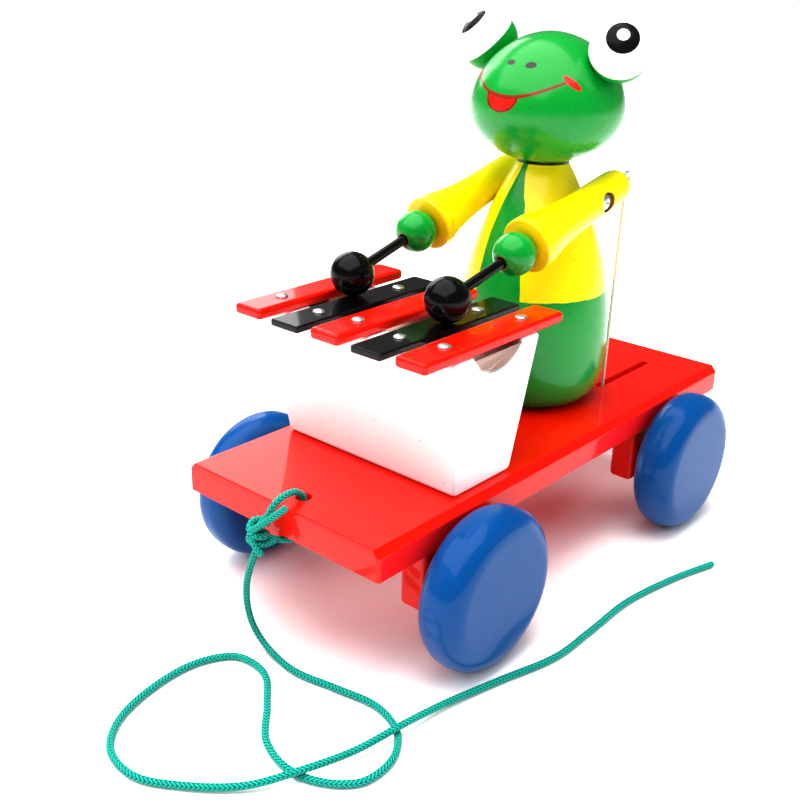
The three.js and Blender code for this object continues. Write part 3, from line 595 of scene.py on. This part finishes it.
def make_deck():
    """The board: a rounded rectangle carried up through a small bottom round, the side, and a 45 degree
    bevel along both long edges that narrows to a small round at the ends; the cord hole and the two slots go
    through it."""
    low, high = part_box("deck")
    width, length = high.x - low.x, high.y - low.y
    bottom = [(0.8, 0.8, 0), (0.4, 0.4, 0), (0.1, 0.1, 0.12), (0, 0, 0.4)]
    top = [(0, 0, 3.1), (0.1, 0, 2.75), (0.35, 0, 2.4), (2.3, 0.05, 0.42), (2.6, 0.2, 0.1), (2.9, 0.5, 0),
           (3.3, 0.9, 0)]
    rows = []
    for across, end, up in bottom:
        rows.append((across, end, low.z + up * MM))
    for across, end, down in top:
        rows.append((across, end, high.z - down * MM))
    outlines = [(rounded_rectangle(width - 2 * a * MM, length - 2 * e * MM,
                                   max(1.3 - 0.3 * max(a, e), 0.5) * MM), z) for a, e, z in rows]

    def wall(shape):
        grow = [(0.45, 0), (0.13, 0.12), (0, 0.4)]
        up = [(shape(g * MM), low.z + z * MM) for g, z in grow]
        return up + [(shape(g * MM), high.z - z * MM) for g, z in grow[::-1]]

    hole = wall(lambda g: arc((3 * MM, low.y + 10.5 * MM), 3 * MM + g, 0, 360, 37)[:-1])
    slots = [wall(lambda g,
                  s=s: rounded_rectangle(3.4 * MM + 2 * g, 45 * MM + 2 * g, 1.69 * MM + g,
                                         (s * SLOT_X, SLOT_Y)))
             for s in SIDES.values()]
    make("deck_board", board(outlines, [hole, *slots]), "cart", RED_PAINT, ("deck",), crease=40)


def make_bearing_block(name):
    """A board across X, its two faces rounded into its edges, bored for the axle."""
    low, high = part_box(name)
    axle = middle("front_axle") if "front" in name else REAR_AXLE
    rows = []
    for inset, depth in [(2.9, 0), (2.2, 0), (1.1, 0.3), (0.3, 1.1), (0, 2.2)]:
        rows.append((inset, low.x + depth * MM))
    rows += [(inset, high.x - (x - low.x)) for inset, x in rows[::-1]]
    centre = middle(name)

    def outline(inset):
        shape = rounded_rectangle(high.y - low.y - 2 * inset * MM, high.z - low.z - inset * MM, 0.6 * MM)
        return shape + np.array((centre.y, centre.z + inset * MM / 2))

    bore = [(arc((axle.y, axle.z), r * MM, 0, 360, 33)[:-1], x) for r, x in
            [(2.0, low.x), (1.72, low.x + 0.25 * MM), (1.72, high.x - 0.25 * MM), (2.0, high.x)]]
    verts, faces = board([(outline(i), x) for i, x in rows], [bore])
    make(name + "_board", (verts[:, [2, 0, 1]], faces), "cart", RED_PAINT, (name,), crease=40)


def make_wheel(name, side, body):
    """A thick disc with flat faces and a quarter-round on both edges, turned about the axle, with a blind
    seat for it inside."""
    low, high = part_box(name)
    centre = middle(name)
    radius, thick, rim = (high.z - low.z) / 2 / MM, (high.x - low.x) / MM, 8.6
    outer = arc((radius - rim, thick - rim), rim, 90, 0, 15)
    inner = arc((radius - rim, rim), rim, 0, -90, 15)
    profile = np.vstack([[(0, thick), (radius * 0.3, thick), (radius - rim - 0.7, thick)], outer, inner,
                         [(radius - rim - 0.7, 0), (4, 0), (2.1, 0), (1.75, 0.35), (1.75, 11.6), (1.6, 12),
                          (0, 12)]])
    start = low.x if side > 0 else high.x
    make(name + "_turned", turned(profile * MM, 128, (start, centre.y, centre.z), (side, 0, 0)), body,
         BLUE_PAINT, (name,), crease=50)


def tube(path, radius, around=20, ripple=None):
    """A round bar of a radius carried along a path; ripple changes the radius with angle and length."""
    along, side, other = frames_along(path)
    angle = 2 * np.pi * np.arange(around) / around
    run = np.concatenate([[0], np.cumsum(np.linalg.norm(np.diff(path, axis=0), axis=1))])
    size = radius * (np.ones((len(path), around)) if ripple is None
                     else ripple(angle[None, :], run[:, None]))
    across = np.cos(angle)[None, :, None] * side[:, None, :]
    upward = np.sin(angle)[None, :, None] * other[:, None, :]
    ring = path[:, None, :] + size[..., None] * (across + upward)
    lead = 0.12 * radius
    first = path[:1, None, :] * 0.12 + ring[:1] * 0.88 - along[:1, None, :] * lead
    last = path[-1:, None, :] * 0.12 + ring[-1:] * 0.88 + along[-1:, None, :] * lead
    return skin(np.concatenate([first, ring, last]))


def filleted(points, radius):
    """A polyline whose corners are rounded: each corner is replaced by a parabola between points a radius
    away on both legs."""
    p = np.array(points, float)
    out = [p[:1]]
    t = np.linspace(0, 1, 9)[:, None]
    for before, corner, after in zip(p, p[1:], p[2:]):
        a = corner + (before - corner) / np.linalg.norm(before - corner) * radius
        b = corner + (after - corner) / np.linalg.norm(after - corner) * radius
        out.append((1 - t) ** 2 * a + 2 * t * (1 - t) * corner + t**2 * b)
    out.append(p[-1:])
    return np.vstack(out)


def make_axles():
    low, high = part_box("front_axle")
    mid = middle("front_axle")
    straight = np.column_stack([np.linspace(low.x, high.x, 40), np.full(40, mid.y), np.full(40, mid.z)])
    make("front_axle_rod", tube(straight, AXLE_RADIUS), "front_wheels", STEEL, ("front_axle",))
    low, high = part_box("rear_crank_axle")
    centre_y, z = (middle("crank_loop_left").y +
                   middle("crank_loop_right").y) / 2, middle("crank_loop_left").z
    points = [(low.x, centre_y, z)]
    for side in ("left", "right"):
        pin = middle("crank_loop_" + side)
        points += [(pin.x - 5.8 * MM, centre_y, z), (pin.x - 4.5 * MM, pin.y, z),
                   (pin.x + 4.5 * MM, pin.y, z), (pin.x + 5.8 * MM, centre_y, z)]
    points.append((high.x, centre_y, z))
    make("rear_crank_wire", tube(filleted(points, BEND_RADIUS), AXLE_RADIUS), "rear_wheels", STEEL,
         ("rear_crank_axle",))


def make_fixing_screw(name):
    """A round-head screw under the board: domed head with a straight slot, then the shank."""
    low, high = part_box(name)
    centre = middle(name)
    head = arc((0, 0), 1, -90, 0, 12)
    profile = [(abs(x) * 4 * MM, low.z + (1 + y) * 2.2 * MM) for x, y in head] + [
        (4 * MM, low.z + 2.3 * MM), (2 * MM, low.z + 2.3 * MM), (2 * MM, high.z - 3 * MM), (0, high.z)]
    piece = make(name + "_turned", turned(profile, 48, (centre.x, centre.y, 0)), "cart", STEEL,
                 (name,), crease=40)
    groove = rounded_rectangle(0.9 * MM, 9 * MM, 0.2 * MM, (centre.x, centre.y))
    carve(piece, board([(groove, low.z - 1 * MM), (groove, low.z + 1.1 * MM)]))


make_deck()
for end in ("front", "rear"):
    for hand, side in SIDES.items():
        make_bearing_block(f"bearing_block_{end}_{hand}")
        make_wheel(f"wheel_{end}_{hand}", side, f"{end}_wheels")
make_axles()
for screw in ("body_fixing_screw", "resonator_fixing_screw_left", "resonator_fixing_screw_right"):
    make_fixing_screw(screw)


# ---------------------------------------------------------------- xylophone
def make_resonator():
    """The block under the bars: its outline seen along X, with the round trough in its top, carried along X
    between end faces that lean outwards; the outline shrinks by a quarter circle at each end to round the
    edges."""
    low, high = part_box("resonator_block")
    y, foot, top = middle("resonator_block").y, 17 * MM, (high.y - low.y) / 2
    half = [(a, b) for a, b in ((43.2 * MM, low.z), ((high.x - low.x) / 2, high.z))]
    trough_r, trough_z = 16 * MM, high.z + 8 * MM
    reach = math.degrees(math.acos(8 / 16))
    trough = arc((y, trough_z), trough_r, -90 + reach, -90 - reach, 25)
    loop = np.vstack([[(y - foot, low.z), (y + foot, low.z), (y + top, high.z)], trough,
                      [(y - top, high.z)]])
    rounding = {0: 2.2, 1: 2.2, 2: 2.4, 3: 2.4, len(loop) - 2: 2.4, len(loop) - 1: 2.4}
    pieces = []
    t = np.linspace(0, 1, 7)[:, None]
    for i, corner in enumerate(loop):
        if i not in rounding:
            pieces.append(corner[None])
            continue
        before, after, r = loop[i - 1], loop[(i + 1) % len(loop)], rounding[i] * MM
        to_before, to_after = np.linalg.norm(before - corner), np.linalg.norm(after - corner)
        a = corner + (before - corner) / to_before * min(r, 0.4 * to_before)
        b = corner + (after - corner) / to_after * min(r, 0.4 * to_after)
        pieces.append((1 - t) ** 2 * a + 2 * t * (1 - t) * corner + t**2 * b)
    outline = np.vstack(pieces)
    tangent = np.roll(outline, -1, 0) - np.roll(outline, 1, 0)
    inward = np.column_stack([-tangent[:, 1], tangent[:, 0]])
    inward /= np.linalg.norm(inward, axis=1)[:, None]
    edge = 1.15 * MM
    rings = []
    steps = [(1 - math.sin(a), 1 - math.cos(a)) for a in np.radians([0, 18, 36, 54, 72, 90])]
    for s in (-1, 1):
        batch = []
        for inset, back in steps:
            flat = outline + inward * inset * edge
            share = (flat[:, 1] - low.z) / (high.z - low.z)
            width = half[0][0] + (half[1][0] - half[0][0]) * share
            batch.append(np.column_stack([s * (width - back * edge), flat]))
        rings += batch if s < 0 else batch[::-1]
    make("resonator_block_painted", skin(np.stack(rings), caps="flat"), "cart", WHITE_PAINT,
         ("resonator_block",), crease=42)


def make_bar(number, colour):
    """A flat bar: its plan outline carried up through a rounded lower and upper edge."""
    name = f"bar_{number}_{colour}"
    low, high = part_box(name)
    width, length = high.x - low.x, high.y - low.y
    edge = (1.35 if colour == "red" else 0.55) * MM
    turn = np.radians([0, 22.5, 45, 67.5, 90])
    lower = [((1 - math.sin(a)) * edge, (1 - math.cos(a)) * edge) for a in turn]
    rows = [(edge * 1.5, low.z)] + [(i, low.z + d) for i,
                                    d in lower] + [(i, high.z - d) for i,
                                                   d in lower[::-1]] + [(edge * 1.5, high.z)]
    centre = middle(name)
    corner = 1.6 * MM if colour == "red" else 0.9 * MM
    outlines = [(rounded_rectangle(width - 2 * i, length - 2 * i, max(corner - i * 0.5, 0.4 * MM),
                                   (centre.x, centre.y)), z) for i, z in rows]
    make(name + "_painted", board(outlines), "cart",
         RED_PAINT if colour == "red" else BLACK_PAINT, (name,), crease=42)


def make_nail(name):
    """A round-head nail: a low dome with a thin rim, then its shank into the block."""
    low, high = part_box(name)
    centre = middle(name)
    dome = arc((0, 0), 1, 90, 14, 12)
    profile = [(abs(x) * 2.4 * MM, high.z - (1 - y) * 0.9 * MM) for x, y in dome] + [
        (2.4 * MM, high.z - 1.0 * MM), (0.8 * MM, high.z - 1.0 * MM), (0.8 * MM, low.z + 2 * MM), (0, low.z)]
    make(name + "_turned", turned(profile[::-1], 40, (centre.x, centre.y, 0)), "cart", STEEL,
         (name,), crease=45)


make_resonator()
for number, colour in enumerate(("red", "black", "red", "black", "red"), 1):
    make_bar(number, colour)
    for end in ("front", "back"):
        make_nail(f"bar_nail_{number}_{end}")


# ---------------------------------------------------------------- frog
FROG = middle("frog_body")
BODY_LOW, BODY_HIGH = (corner.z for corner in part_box("frog_body"))
HEAD_BOTTOM, HEAD_TOP = (corner.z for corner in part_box("frog_head"))
HEAD_CENTRE = BODY_LOW + 124.5 * MM


def body_paint():
    """Green gloss with a yellow jacket over it, open down the front; the painted edges wander a little as a
    brush does."""
    finish = Finish("frog_clothes")
    x, y, z = finish.axes((FROG.x, FROG.y, 0))
    wander = (finish.noise(0.006, detail=2, seed=2.0) - 0.5)
    bearing = x.math("ARCTAN2", x, -y) * (180 / math.pi) + wander * 1.6
    height = (z / MM + wander * 0.9 - 100) / 70
    right = ramp_value(finish, height, [(0.16, 24.0), (0.64, 16.9), (0.69, 15.6), (0.875, 1.0)], 30)
    left = ramp_value(finish, height, [(0.16, 18.0), (0.30, 18.3), (0.51, 20.6), (0.70, 18.9), (0.87, 13.3)],
                      30)
    open_front = bearing.below(right, 0.7) * (bearing + left).above(0, 0.7)
    jacket = height.above((111.6 - 100) / 70, 0.004) * (1 - open_front)
    colour = finish.mix(jacket, GREEN, YELLOW)
    return painted_over(finish, colour, jacket)


def ramp_value(finish, factor, stops, scale):
    """A number that follows (factor, value) stops with straight lines between them."""
    grey = [(position, value / scale) for position, value in stops]
    ramp = finish.node("ShaderNodeValToRGB", {"stops": grey}, {0: factor})
    return finish.node("ShaderNodeSeparateColor", {}, {0: ramp}, 0) * scale


def painted_over(finish, colour, raised, roughness=0.26, coat=0.6, specular=0.18):
    """Gloss paint in several colours, each painted area standing a hair above the one below it."""
    drift = finish.noise(0.02, detail=3)
    specks = finish.noise(0.0016, detail=1, seed=7.0).above(0.745, 0.02)
    darker = finish.node("ShaderNodeVectorMath", {"operation": "SCALE"},
                         {0: colour, "Scale": 1 - 0.06 * drift})
    fleck = finish.mix(specks * 0.35, darker, rgb(20, 60, 20))
    height = finish.noise(0.0026, detail=1, seed=1.0) * 0.35 + drift * 0.8 + raised * 0.5
    shine = roughness + 0.08 * (finish.noise(0.008, detail=2, seed=5.0) - 0.35)
    return finish.surface(Base_Color=fleck, Roughness=shine, Normal=finish.bump(height, 0.00012, 0.5),
                          Coat_Weight=coat, Coat_Roughness=0.16, Specular_IOR_Level=specular)


def head_paint():
    """Green gloss with the drawn face: mouth a shallow parabola with a slanted stroke at each end, tongue,
    two nostrils."""
    finish = Finish("frog_face")
    x, y, z = finish.axes((FROG.x, FROG.y, 0))
    front = (-y).above(0, 0.0004)
    wander = (finish.noise(0.004, detail=2, seed=4.0) - 0.5) * 0.5
    across, height = x / MM + wander, z / MM + wander
    reach = abs(across - 1.0)
    line = 192.5 + 0.0160 * reach**2
    mouth = abs(height - line).below(0.8 - reach * 0.012, 0.15) * reach.below(21.0, 0.3)
    cross, rise = reach - 21.2, height - 198.5
    stroke_along, stroke_across = cross * 0.75 - rise * 0.66, cross * 0.66 + rise * 0.75
    stroke = ((stroke_along / 4.0) ** 2 + (stroke_across / 0.95) ** 2).below(1, 0.15)
    tongue_shape = ((across + 1.2) / 7.6) ** 2 + ((height - 192.6) / 6.2) ** 2
    below_lip = height.below(line, 0.2)
    tongue = tongue_shape.below(1, 0.08) * below_lip
    tongue_edge = tongue_shape.above(0.74, 0.1) * tongue
    nostrils = None
    for nx, nz, rx, rz in ((-2.34, 204.7, 1.95, 0.95), (6.75, 204.3, 2.2, 1.2)):
        spot = (((across - nx) / rx) ** 2 + ((height - nz) / rz) ** 2).below(1, 0.2)
        nostrils = spot if nostrils is None else nostrils + spot
    streak = finish.noise(0.0012, (1, 1, 5), detail=2, seed=6.0).above(0.55, 0.1) * tongue
    colour = finish.mix(tongue * front, GREEN, rgb(214, 26, 14))
    colour = finish.mix(tongue_edge * front * 0.85 + streak * front * 0.35, colour, rgb(112, 34, 16))
    lips = mouth.math("MAXIMUM", mouth, stroke)
    colour = finish.mix(mouth * front, colour, rgb(140, 40, 24))
    colour = finish.mix(stroke * front, colour, rgb(222, 34, 26))
    colour = finish.mix(nostrils * front, colour, rgb(52, 44, 46))
    raised = (lips + tongue + nostrils) * front
    return painted_over(finish, colour, raised * 0.6)


def eye_paint(side, centre, gaze):
    """White ball with a black pupil, a white glint painted in it, and the head's green behind the
    equator."""
    finish = Finish(f"eye_{side}")
    radius = 12 * MM
    ahead = finish.along(centre, gaze) / radius
    up = Vector((0, 0, 1)) - gaze * gaze.z
    glint_way = (gaze + up.normalized() * 0.05).normalized()
    glint = (finish.along(centre, glint_way) / radius).above(math.cos(math.radians(11.8)), 0.004)
    pupil = ahead.above(math.cos(math.radians(32)), 0.006)
    back = ahead.below(math.cos(math.radians(88)), 0.012)
    colour = finish.mix(back, rgb(250, 250, 249), GREEN)
    colour = finish.mix(pupil, colour, rgb(20, 19, 19))
    colour = finish.mix(glint, colour, rgb(250, 250, 250))
    return painted_over(finish, colour, pupil * 0.5 + glint * 0.4 + back * 0.6, coat=0.06, specular=0.12)


def make_frog():
    height, wide, foot, neck = (BODY_HIGH - BODY_LOW) / MM, 33.4, 21.0, 11.0
    h = np.concatenate([26 * (1 - np.cos(np.linspace(0, np.pi / 2, 40))), np.linspace(26, height, 90)[1:]])
    below = np.sqrt(np.clip(1 - ((26 - h) / 26).clip(0) ** 3, 0, None))
    above = 1 - ((h - 26).clip(0) / (height - 26)) ** 2
    radius = np.where(h < 26, foot + (wide - foot) * below, neck + (wide - neck) * above)
    profile = np.vstack([[(0, 0), (foot - 2, 0)], np.column_stack([radius, h]),
                         [(neck, height + 0.2), (0, height + 0.22)]])
    profile[:, 1] += BODY_LOW / MM
    make("frog_body_turned", turned(profile * MM, 192, (FROG.x, FROG.y, 0)), "cart",
         body_paint(), ("frog_body",), crease=60)
    head_r, crown, chin, power = 31.6, (HEAD_TOP - HEAD_CENTRE) / MM, 22.0, 1.9
    start = math.asin((HEAD_BOTTOM - HEAD_CENTRE) / MM / chin)
    a = np.linspace(start, np.pi / 2, 120)
    z = np.where(a > 0, crown, chin) * np.sin(a)
    share = np.abs(np.sin(a))
    r = head_r * np.where(a > 0, np.clip(1 - share**power, 0, None) ** (1 / power),
                          np.sqrt(np.clip(1 - share**2, 0, None)))
    r[-1] = 0
    profile = np.vstack([[(0, z[0])], [(r[0] - 1.5, z[0])], np.column_stack([r, z])]) * MM
    profile[:, 1] += HEAD_CENTRE
    head = make("frog_head_turned", turned(profile, 192, (FROG.x, FROG.y, 0)), "cart",
                head_paint(), ("frog_head",), crease=60)
    gazes = {"left": (-37, 46), "right": (34.8, 32)}
    sockets = []
    for side in SIDES:
        bearing, rise = (math.radians(v) for v in gazes[side])
        gaze = Vector((math.sin(bearing) * math.cos(rise), -math.cos(bearing) * math.cos(rise),
                       math.sin(rise)))
        centre = middle("eye_" + side)
        sockets.append(ball(centre, 12.15 * MM))
        make(f"eye_{side}_ball", ball(centre, 12 * MM, gaze, 128, 90), "cart",
             eye_paint(side, centre, gaze), ("eye_" + side,))
    carve(head, *sockets)
    frame["nodes"]["neck_dowel"].material_slots[0].material = WOOD


make_frog()


# ---------------------------------------------------------------- arms
def arm_paint(side, shoulder, way):
    """Yellow gloss; the cuff's front face and a band behind it are a deeper orange yellow as painted shade
    and painted reflection, and the screw recess is a dark reddish brown."""
    finish = Finish(f"sleeve_{side}")
    reach = finish.along(shoulder, way) / MM
    x, y, z = finish.axes(shoulder)
    off_screw = ((y / MM) ** 2 + (z / MM) ** 2) ** 0.5
    outward = x * SIDES[side] / MM
    recess = off_screw.below(4.15, 0.15) * outward.below(7.05, 0.3) * outward.above(4.6, 0.2)
    # painted shade and reflection: the cuff's front face and the band behind it are darkened to orange
    # yellow
    cuff = reach.above(44.3, 0.5)
    band_shade = reach.above(40.4, 0.3) * reach.below(41.6, 0.8)
    colour = finish.mix(cuff * 0.45 + band_shade * 0.35, YELLOW, rgb(246, 168, 6))
    colour = finish.mix(recess, colour, rgb(108, 42, 22))
    return painted_over(finish, colour, recess * 0.1, roughness=0.2, coat=0.45)


def hand_paint(side, centre, way):
    """Green gloss, painted reddish brown and set a hair lower in a ring round the hole for the stick."""
    finish = Finish(f"hand_{side}")
    moved = finish.node("ShaderNodeVectorMath", {"operation": "SUBTRACT"},
                        {0: finish.place, 1: tuple(centre)})
    forward = finish.along(centre, way) / MM
    crossed = finish.node("ShaderNodeVectorMath", {"operation": "CROSS_PRODUCT"}, {0: moved, 1: tuple(way)})
    off_axis = finish.node("ShaderNodeVectorMath", {"operation": "LENGTH"}, {0: crossed}, "Value") / MM
    rim = off_axis.below(2.75, 0.3) * forward.above(0, 0.5)
    colour = finish.mix(rim, GREEN, rgb(150, 62, 34))
    return painted_over(finish, colour, 0.0 - rim * 0.4)


def mallet_paint(side, centre, way):
    """Black gloss with a fine moulding line round the ball, raised, and lighter grey as a painted highlight.
    """
    finish = Finish(f"mallet_{side}")
    across = Vector(way).cross(Vector(way).cross(Vector((0.35, 0.2, 0.9)))).normalized()
    seam = abs(finish.along(centre, across) / MM).below(0.11, 0.1)
    drift = finish.noise(0.006, detail=3)
    specks = finish.noise(0.0009, detail=1, seed=9.0).above(0.72, 0.03)
    # the moulding line's bump is real; its lighter grey is a painted highlight along the seam
    colour = finish.mix(seam * 0.2 + specks * 0.2, BLACK, rgb(120, 116, 112))
    height = seam * 1.2 + drift * 0.8 + finish.noise(0.0012, detail=1, seed=1.0) * 0.25
    return finish.surface(Base_Color=colour, Roughness=0.15 + 0.1 * drift,
                          Normal=finish.bump(height, 0.00011, 0.5),
                          Coat_Weight=0.08, Coat_Roughness=0.06, Specular_IOR_Level=0.2)


def make_arm(side):
    s = SIDES[side]
    body = "arm_" + side
    shoulder = Vector(JOINTS[f"arm_{side}_lift"]["pos_m"])
    mallet = middle("mallet_head_" + side)
    way = (mallet - shoulder).normalized()
    reach = (mallet - shoulder).length

    def at(distance):
        return shoulder + way * distance

    # Sleeve: round tail, slow taper, then a flare that grows with distance to the power 2.6, and a cuff with
    # a softened rim.
    cap = np.radians(np.linspace(0, 90, 18))
    tail = np.column_stack([6.9 * np.sin(cap), -20.5 + 6.9 * (1 - np.cos(cap))])
    d = np.linspace(-13.4, 39.7, 70)
    plain = np.minimum(6.9 + 0.5 * (d + 20.5) / 20.5, 7.4)
    sleeve = np.column_stack([plain + 3.8 * (d / 39.7).clip(0, 1) ** 2.6, d])
    cuff = np.vstack([[(11.22, 41), (11.22, 43.6)], arc((10.4, 44.4), 0.8, 0, 90, 7),
                      [(9.4, 45.2), (7.9, 45.2), (0, 45.2)]])
    profile = np.vstack([tail, sleeve, cuff])
    arm = make(f"arm_{side}_sleeve", turned(profile * MM, 128, shoulder, way), body,
               arm_paint(side, shoulder, way), ("arm_" + side,))
    floor_x = shoulder.x + s * 5.0 * MM
    recess = turned(np.array([(0, 0), (4.1, 0), (4.1, 9), (0, 9)]) * MM, 64,
                    (floor_x, shoulder.y, shoulder.z), (s, 0, 0))
    carve(arm, ball(at(52 * MM), 8.6 * MM), recess)

    a = np.linspace(-np.pi / 2, np.pi / 2, 72)
    hand = np.column_stack([8.5 * np.cos(a).clip(0), 8.5 * np.sin(a)])
    hand = np.vstack([hand[:64], [(2.45, 7.95), (2.25, 7.6), (2.25, 3.8), (0, 3.6)]])
    make(f"hand_{side}_ball", turned(hand * MM, 112, at(52 * MM), way), body,
         hand_paint(side, at(52 * MM), way), ("hand_" + side,), crease=50)

    start, stop = 55.5 * MM, reach - 3.7 * MM
    stick = [(0, start), (1.9 * MM, start), (2.1 * MM, start + 0.3 * MM), (2.0 * MM, (start + stop) / 2),
             (2.1 * MM, stop - 0.3 * MM), (1.9 * MM, stop), (0, stop)]
    make(f"mallet_stick_{side}_dowel",
         turned(stick, 60, shoulder, way, ripple=lambda t: 1 + 0.012 * np.cos(9 * t)), body,
         BLACK_PAINT, ("mallet_stick_" + side,), crease=50)
    a = np.linspace(np.pi / 2, -np.pi / 2, 80)
    head = np.column_stack([8.7 * np.cos(a).clip(0), 8.7 * np.sin(a)])[:73]
    head = np.vstack([head, [(2.3, -8.2), (2.2, -7.9), (2.2, -3.4), (0, -3.4)]])
    make(f"mallet_head_{side}_ball", turned(head[::-1] * MM, 120, mallet, way), body,
         mallet_paint(side, mallet, way),
         ("mallet_head_" + side,), crease=50)
    make_shoulder_screw(side)
    make_eyelet(side, shoulder, way)
    make_thread(side)


def make_shoulder_screw(side):
    """A pan-head screw: a low dome with a cross pressed into it, then the shank."""
    s = SIDES[side]
    name = "shoulder_screw_" + side
    low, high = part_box(name)
    centre = middle(name)
    outer, inner = (high.x, low.x) if s > 0 else (low.x, high.x)
    length = abs(outer - inner) / MM
    dome = arc((0, 0), 1, 90, 0, 14)
    profile = [(abs(x) * 3.4, length - (1 - y) * 1.5) for x,
               y in dome] + [(3.4, length - 1.6), (1.6, length - 1.6), (1.6, 3), (0, 0)]
    piece = make(name + "_turned",
                 turned(np.array(profile[::-1]) * MM, 64, (inner, centre.y, centre.z), (s, 0, 0)), "cart",
                 STEEL, (name,), crease=40)
    cross = []
    for width, depth in ((0.75, 3.2), (3.2, 0.75)):
        outline = rounded_rectangle(width * MM, depth * MM, 0.2 * MM, (centre.y, centre.z))
        span = sorted([outer + s * 1 * MM, outer - s * 1.0 * MM])
        verts, faces = board([(outline, span[0]), (outline, span[1])])
        cross.append((verts[:, [2, 0, 1]], faces))
    carve(piece, *cross)


def make_eyelet(side, shoulder, way):
    """A screw eye in the arm's tail: a wire ring and its straight shank."""
    ring_centre = np.array(JOINTS[f"thread_{side}_turn"]["pos_m"])
    a = np.linspace(0, 2 * np.pi, 49)[:-1]
    angle = np.linspace(0, 2 * np.pi, 15)[:-1]
    radius = 2.4 * MM + 0.7 * MM * np.cos(angle)
    ring = np.stack([np.broadcast_to(0.7 * MM * np.sin(angle)[None, :], (48, 14)),
                     np.cos(a)[:, None] * radius, np.sin(a)[:, None] * radius], -1) + ring_centre
    rows, cols = 48, 14
    i, j = np.arange(rows)[:, None], np.arange(cols)[None, :]
    quads = np.stack([i * cols + j, i * cols + (j + 1) % cols, (i + 1) % rows * cols + (j + 1) % cols,
                      (i + 1) % rows * cols + j], -1).reshape(-1, 4)
    shank = tube(np.array([shoulder + way * d * MM for d in np.linspace(-21.0, -13.5, 8)]), 0.7 * MM, 14)
    make(f"tail_eyelet_{side}_wire", join((ring.reshape(-1, 3), [tuple(q) for q in quads.tolist()]), shank),
         "arm_" + side, STEEL, ("tail_eyelet_" + side,))


def thread_paint():
    finish = Finish("thread")
    fuzz = finish.noise(0.0003, (1, 1, 3), detail=4)
    tone = finish.mix(fuzz, rgb(206, 198, 178), rgb(246, 242, 230))
    return finish.surface(Base_Color=tone, Roughness=0.75 + 0.15 * fuzz,
                          Normal=finish.bump(fuzz, 0.0001, 0.8), Sheen_Weight=0.3)


THREAD = thread_paint()


def twist(angle, run):
    """Two plies wound round each other: the radius swells twice round, and the swelling turns once every 2.2
    mm."""
    return 0.86 + 0.2 * np.abs(np.cos(angle + np.pi * run / (2.2 * MM)))


def make_thread(side):
    """The pull thread, from the screw eye through the slot to its loop on the crank, with a small knot under
    the eye."""
    ring = np.array(JOINTS[f"thread_{side}_turn"]["pos_m"])
    pin = np.array(middle("crank_loop_" + side))
    down = (pin - ring) / np.linalg.norm(pin - ring)
    span = np.linalg.norm(pin - ring)
    start, stop = 1.9 * MM, span - 3.6 * MM
    path = ring + down * np.linspace(start, stop, 320)[:, None]
    line = tube(path, 0.7 * MM, 12, twist)
    knot = ball(ring + down * 4.6 * MM, 1.15 * MM, down, 20, 14)
    piece = make(f"pull_thread_{side}_twisted", join(line, knot), "cart", THREAD,
                 ("pull_thread_" + side,))
    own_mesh(piece)
    a = np.linspace(0, 2 * np.pi, 60)
    loop = pin + np.column_stack([0.5 * MM * np.sin(a / 2), 2.55 * MM * np.cos(a), 2.55 * MM * np.sin(a)])
    make(f"crank_loop_{side}_twisted", tube(loop, 0.65 * MM, 12, twist), "rear_wheels", THREAD,
         ("crank_loop_" + side,))


make_arm("left")
make_arm("right")


# ---------------------------------------------------------------- floor and light
def make_floor():
    finish = Finish("floor")
    fine = finish.noise(0.004, detail=3)
    tone = finish.mix(fine, (0.93, 0.925, 0.93), (0.95, 0.945, 0.95))
    material = finish.surface(Base_Color=tone, Roughness=0.55 + 0.05 * fine, Specular_IOR_Level=0.25)
    x = np.linspace(-30, 30, 3)
    verts = np.array([(a, b, -0.0002) for b in x for a in x])
    faces = [(i + 3 * j, i + 1 + 3 * j, i + 4 + 3 * j, i + 3 + 3 * j) for j in range(2) for i in range(2)]
    mesh = bpy.data.meshes.new("floor")
    mesh.from_pydata(verts.tolist(), [], faces)
    floor = bpy.data.objects.new("floor", mesh)
    bpy.context.scene.collection.objects.link(floor)
    mesh.materials.append(material)


def add_light(name, position, target, size, power, seen=True):
    data = bpy.data.lights.new(name, "AREA")
    data.shape = "RECTANGLE"
    data.size, data.size_y = size
    data.energy = power
    lamp = bpy.data.objects.new(name, data)
    lamp.location = position
    lamp.visible_glossy = seen
    lamp.rotation_euler = (Vector(target) - Vector(position)).to_track_quat("-Z", "Y").to_euler()
    bpy.context.scene.collection.objects.link(lamp)


def light_studio():
    scene = bpy.context.scene
    scene.view_settings.view_transform = "Standard"
    scene.view_settings.gamma = 0.82
    scene.view_settings.exposure = 0.0
    world = bpy.data.worlds.new("studio")
    world.use_nodes = True
    world.node_tree.nodes["Background"].inputs[0].default_value = (1, 1, 1, 1)
    world.node_tree.nodes["Background"].inputs[1].default_value = 0.2
    scene.world = world
    sun = bpy.data.lights.new("sky", "SUN")
    sun.energy, sun.angle = 3.25, math.radians(46)
    lamp = bpy.data.objects.new("sky", sun)
    lamp.rotation_euler = Vector((0.1, 0.12, -1)).to_track_quat("-Z", "Y").to_euler()
    lamp.visible_glossy = False
    scene.collection.objects.link(lamp)
    add_light("overhead", (-0.1, -0.35, 1.25), (0, 0, 0.05), (2.2, 1.9), 34)
    add_light("side", (1.6, 1.2, 0.8), (0, 0, 0.1), (1.2, 1.2), 20, seen=False)
    add_light("front", (-0.9, -1.5, 0.7), (0, 0, 0.1), (1.2, 0.9), 9, seen=False)
    add_light("behind_left", (-1.84, 0.80, 1.0), (0, 0, 0.06), (1.3, 1.0), 14)


make_floor()
light_studio()
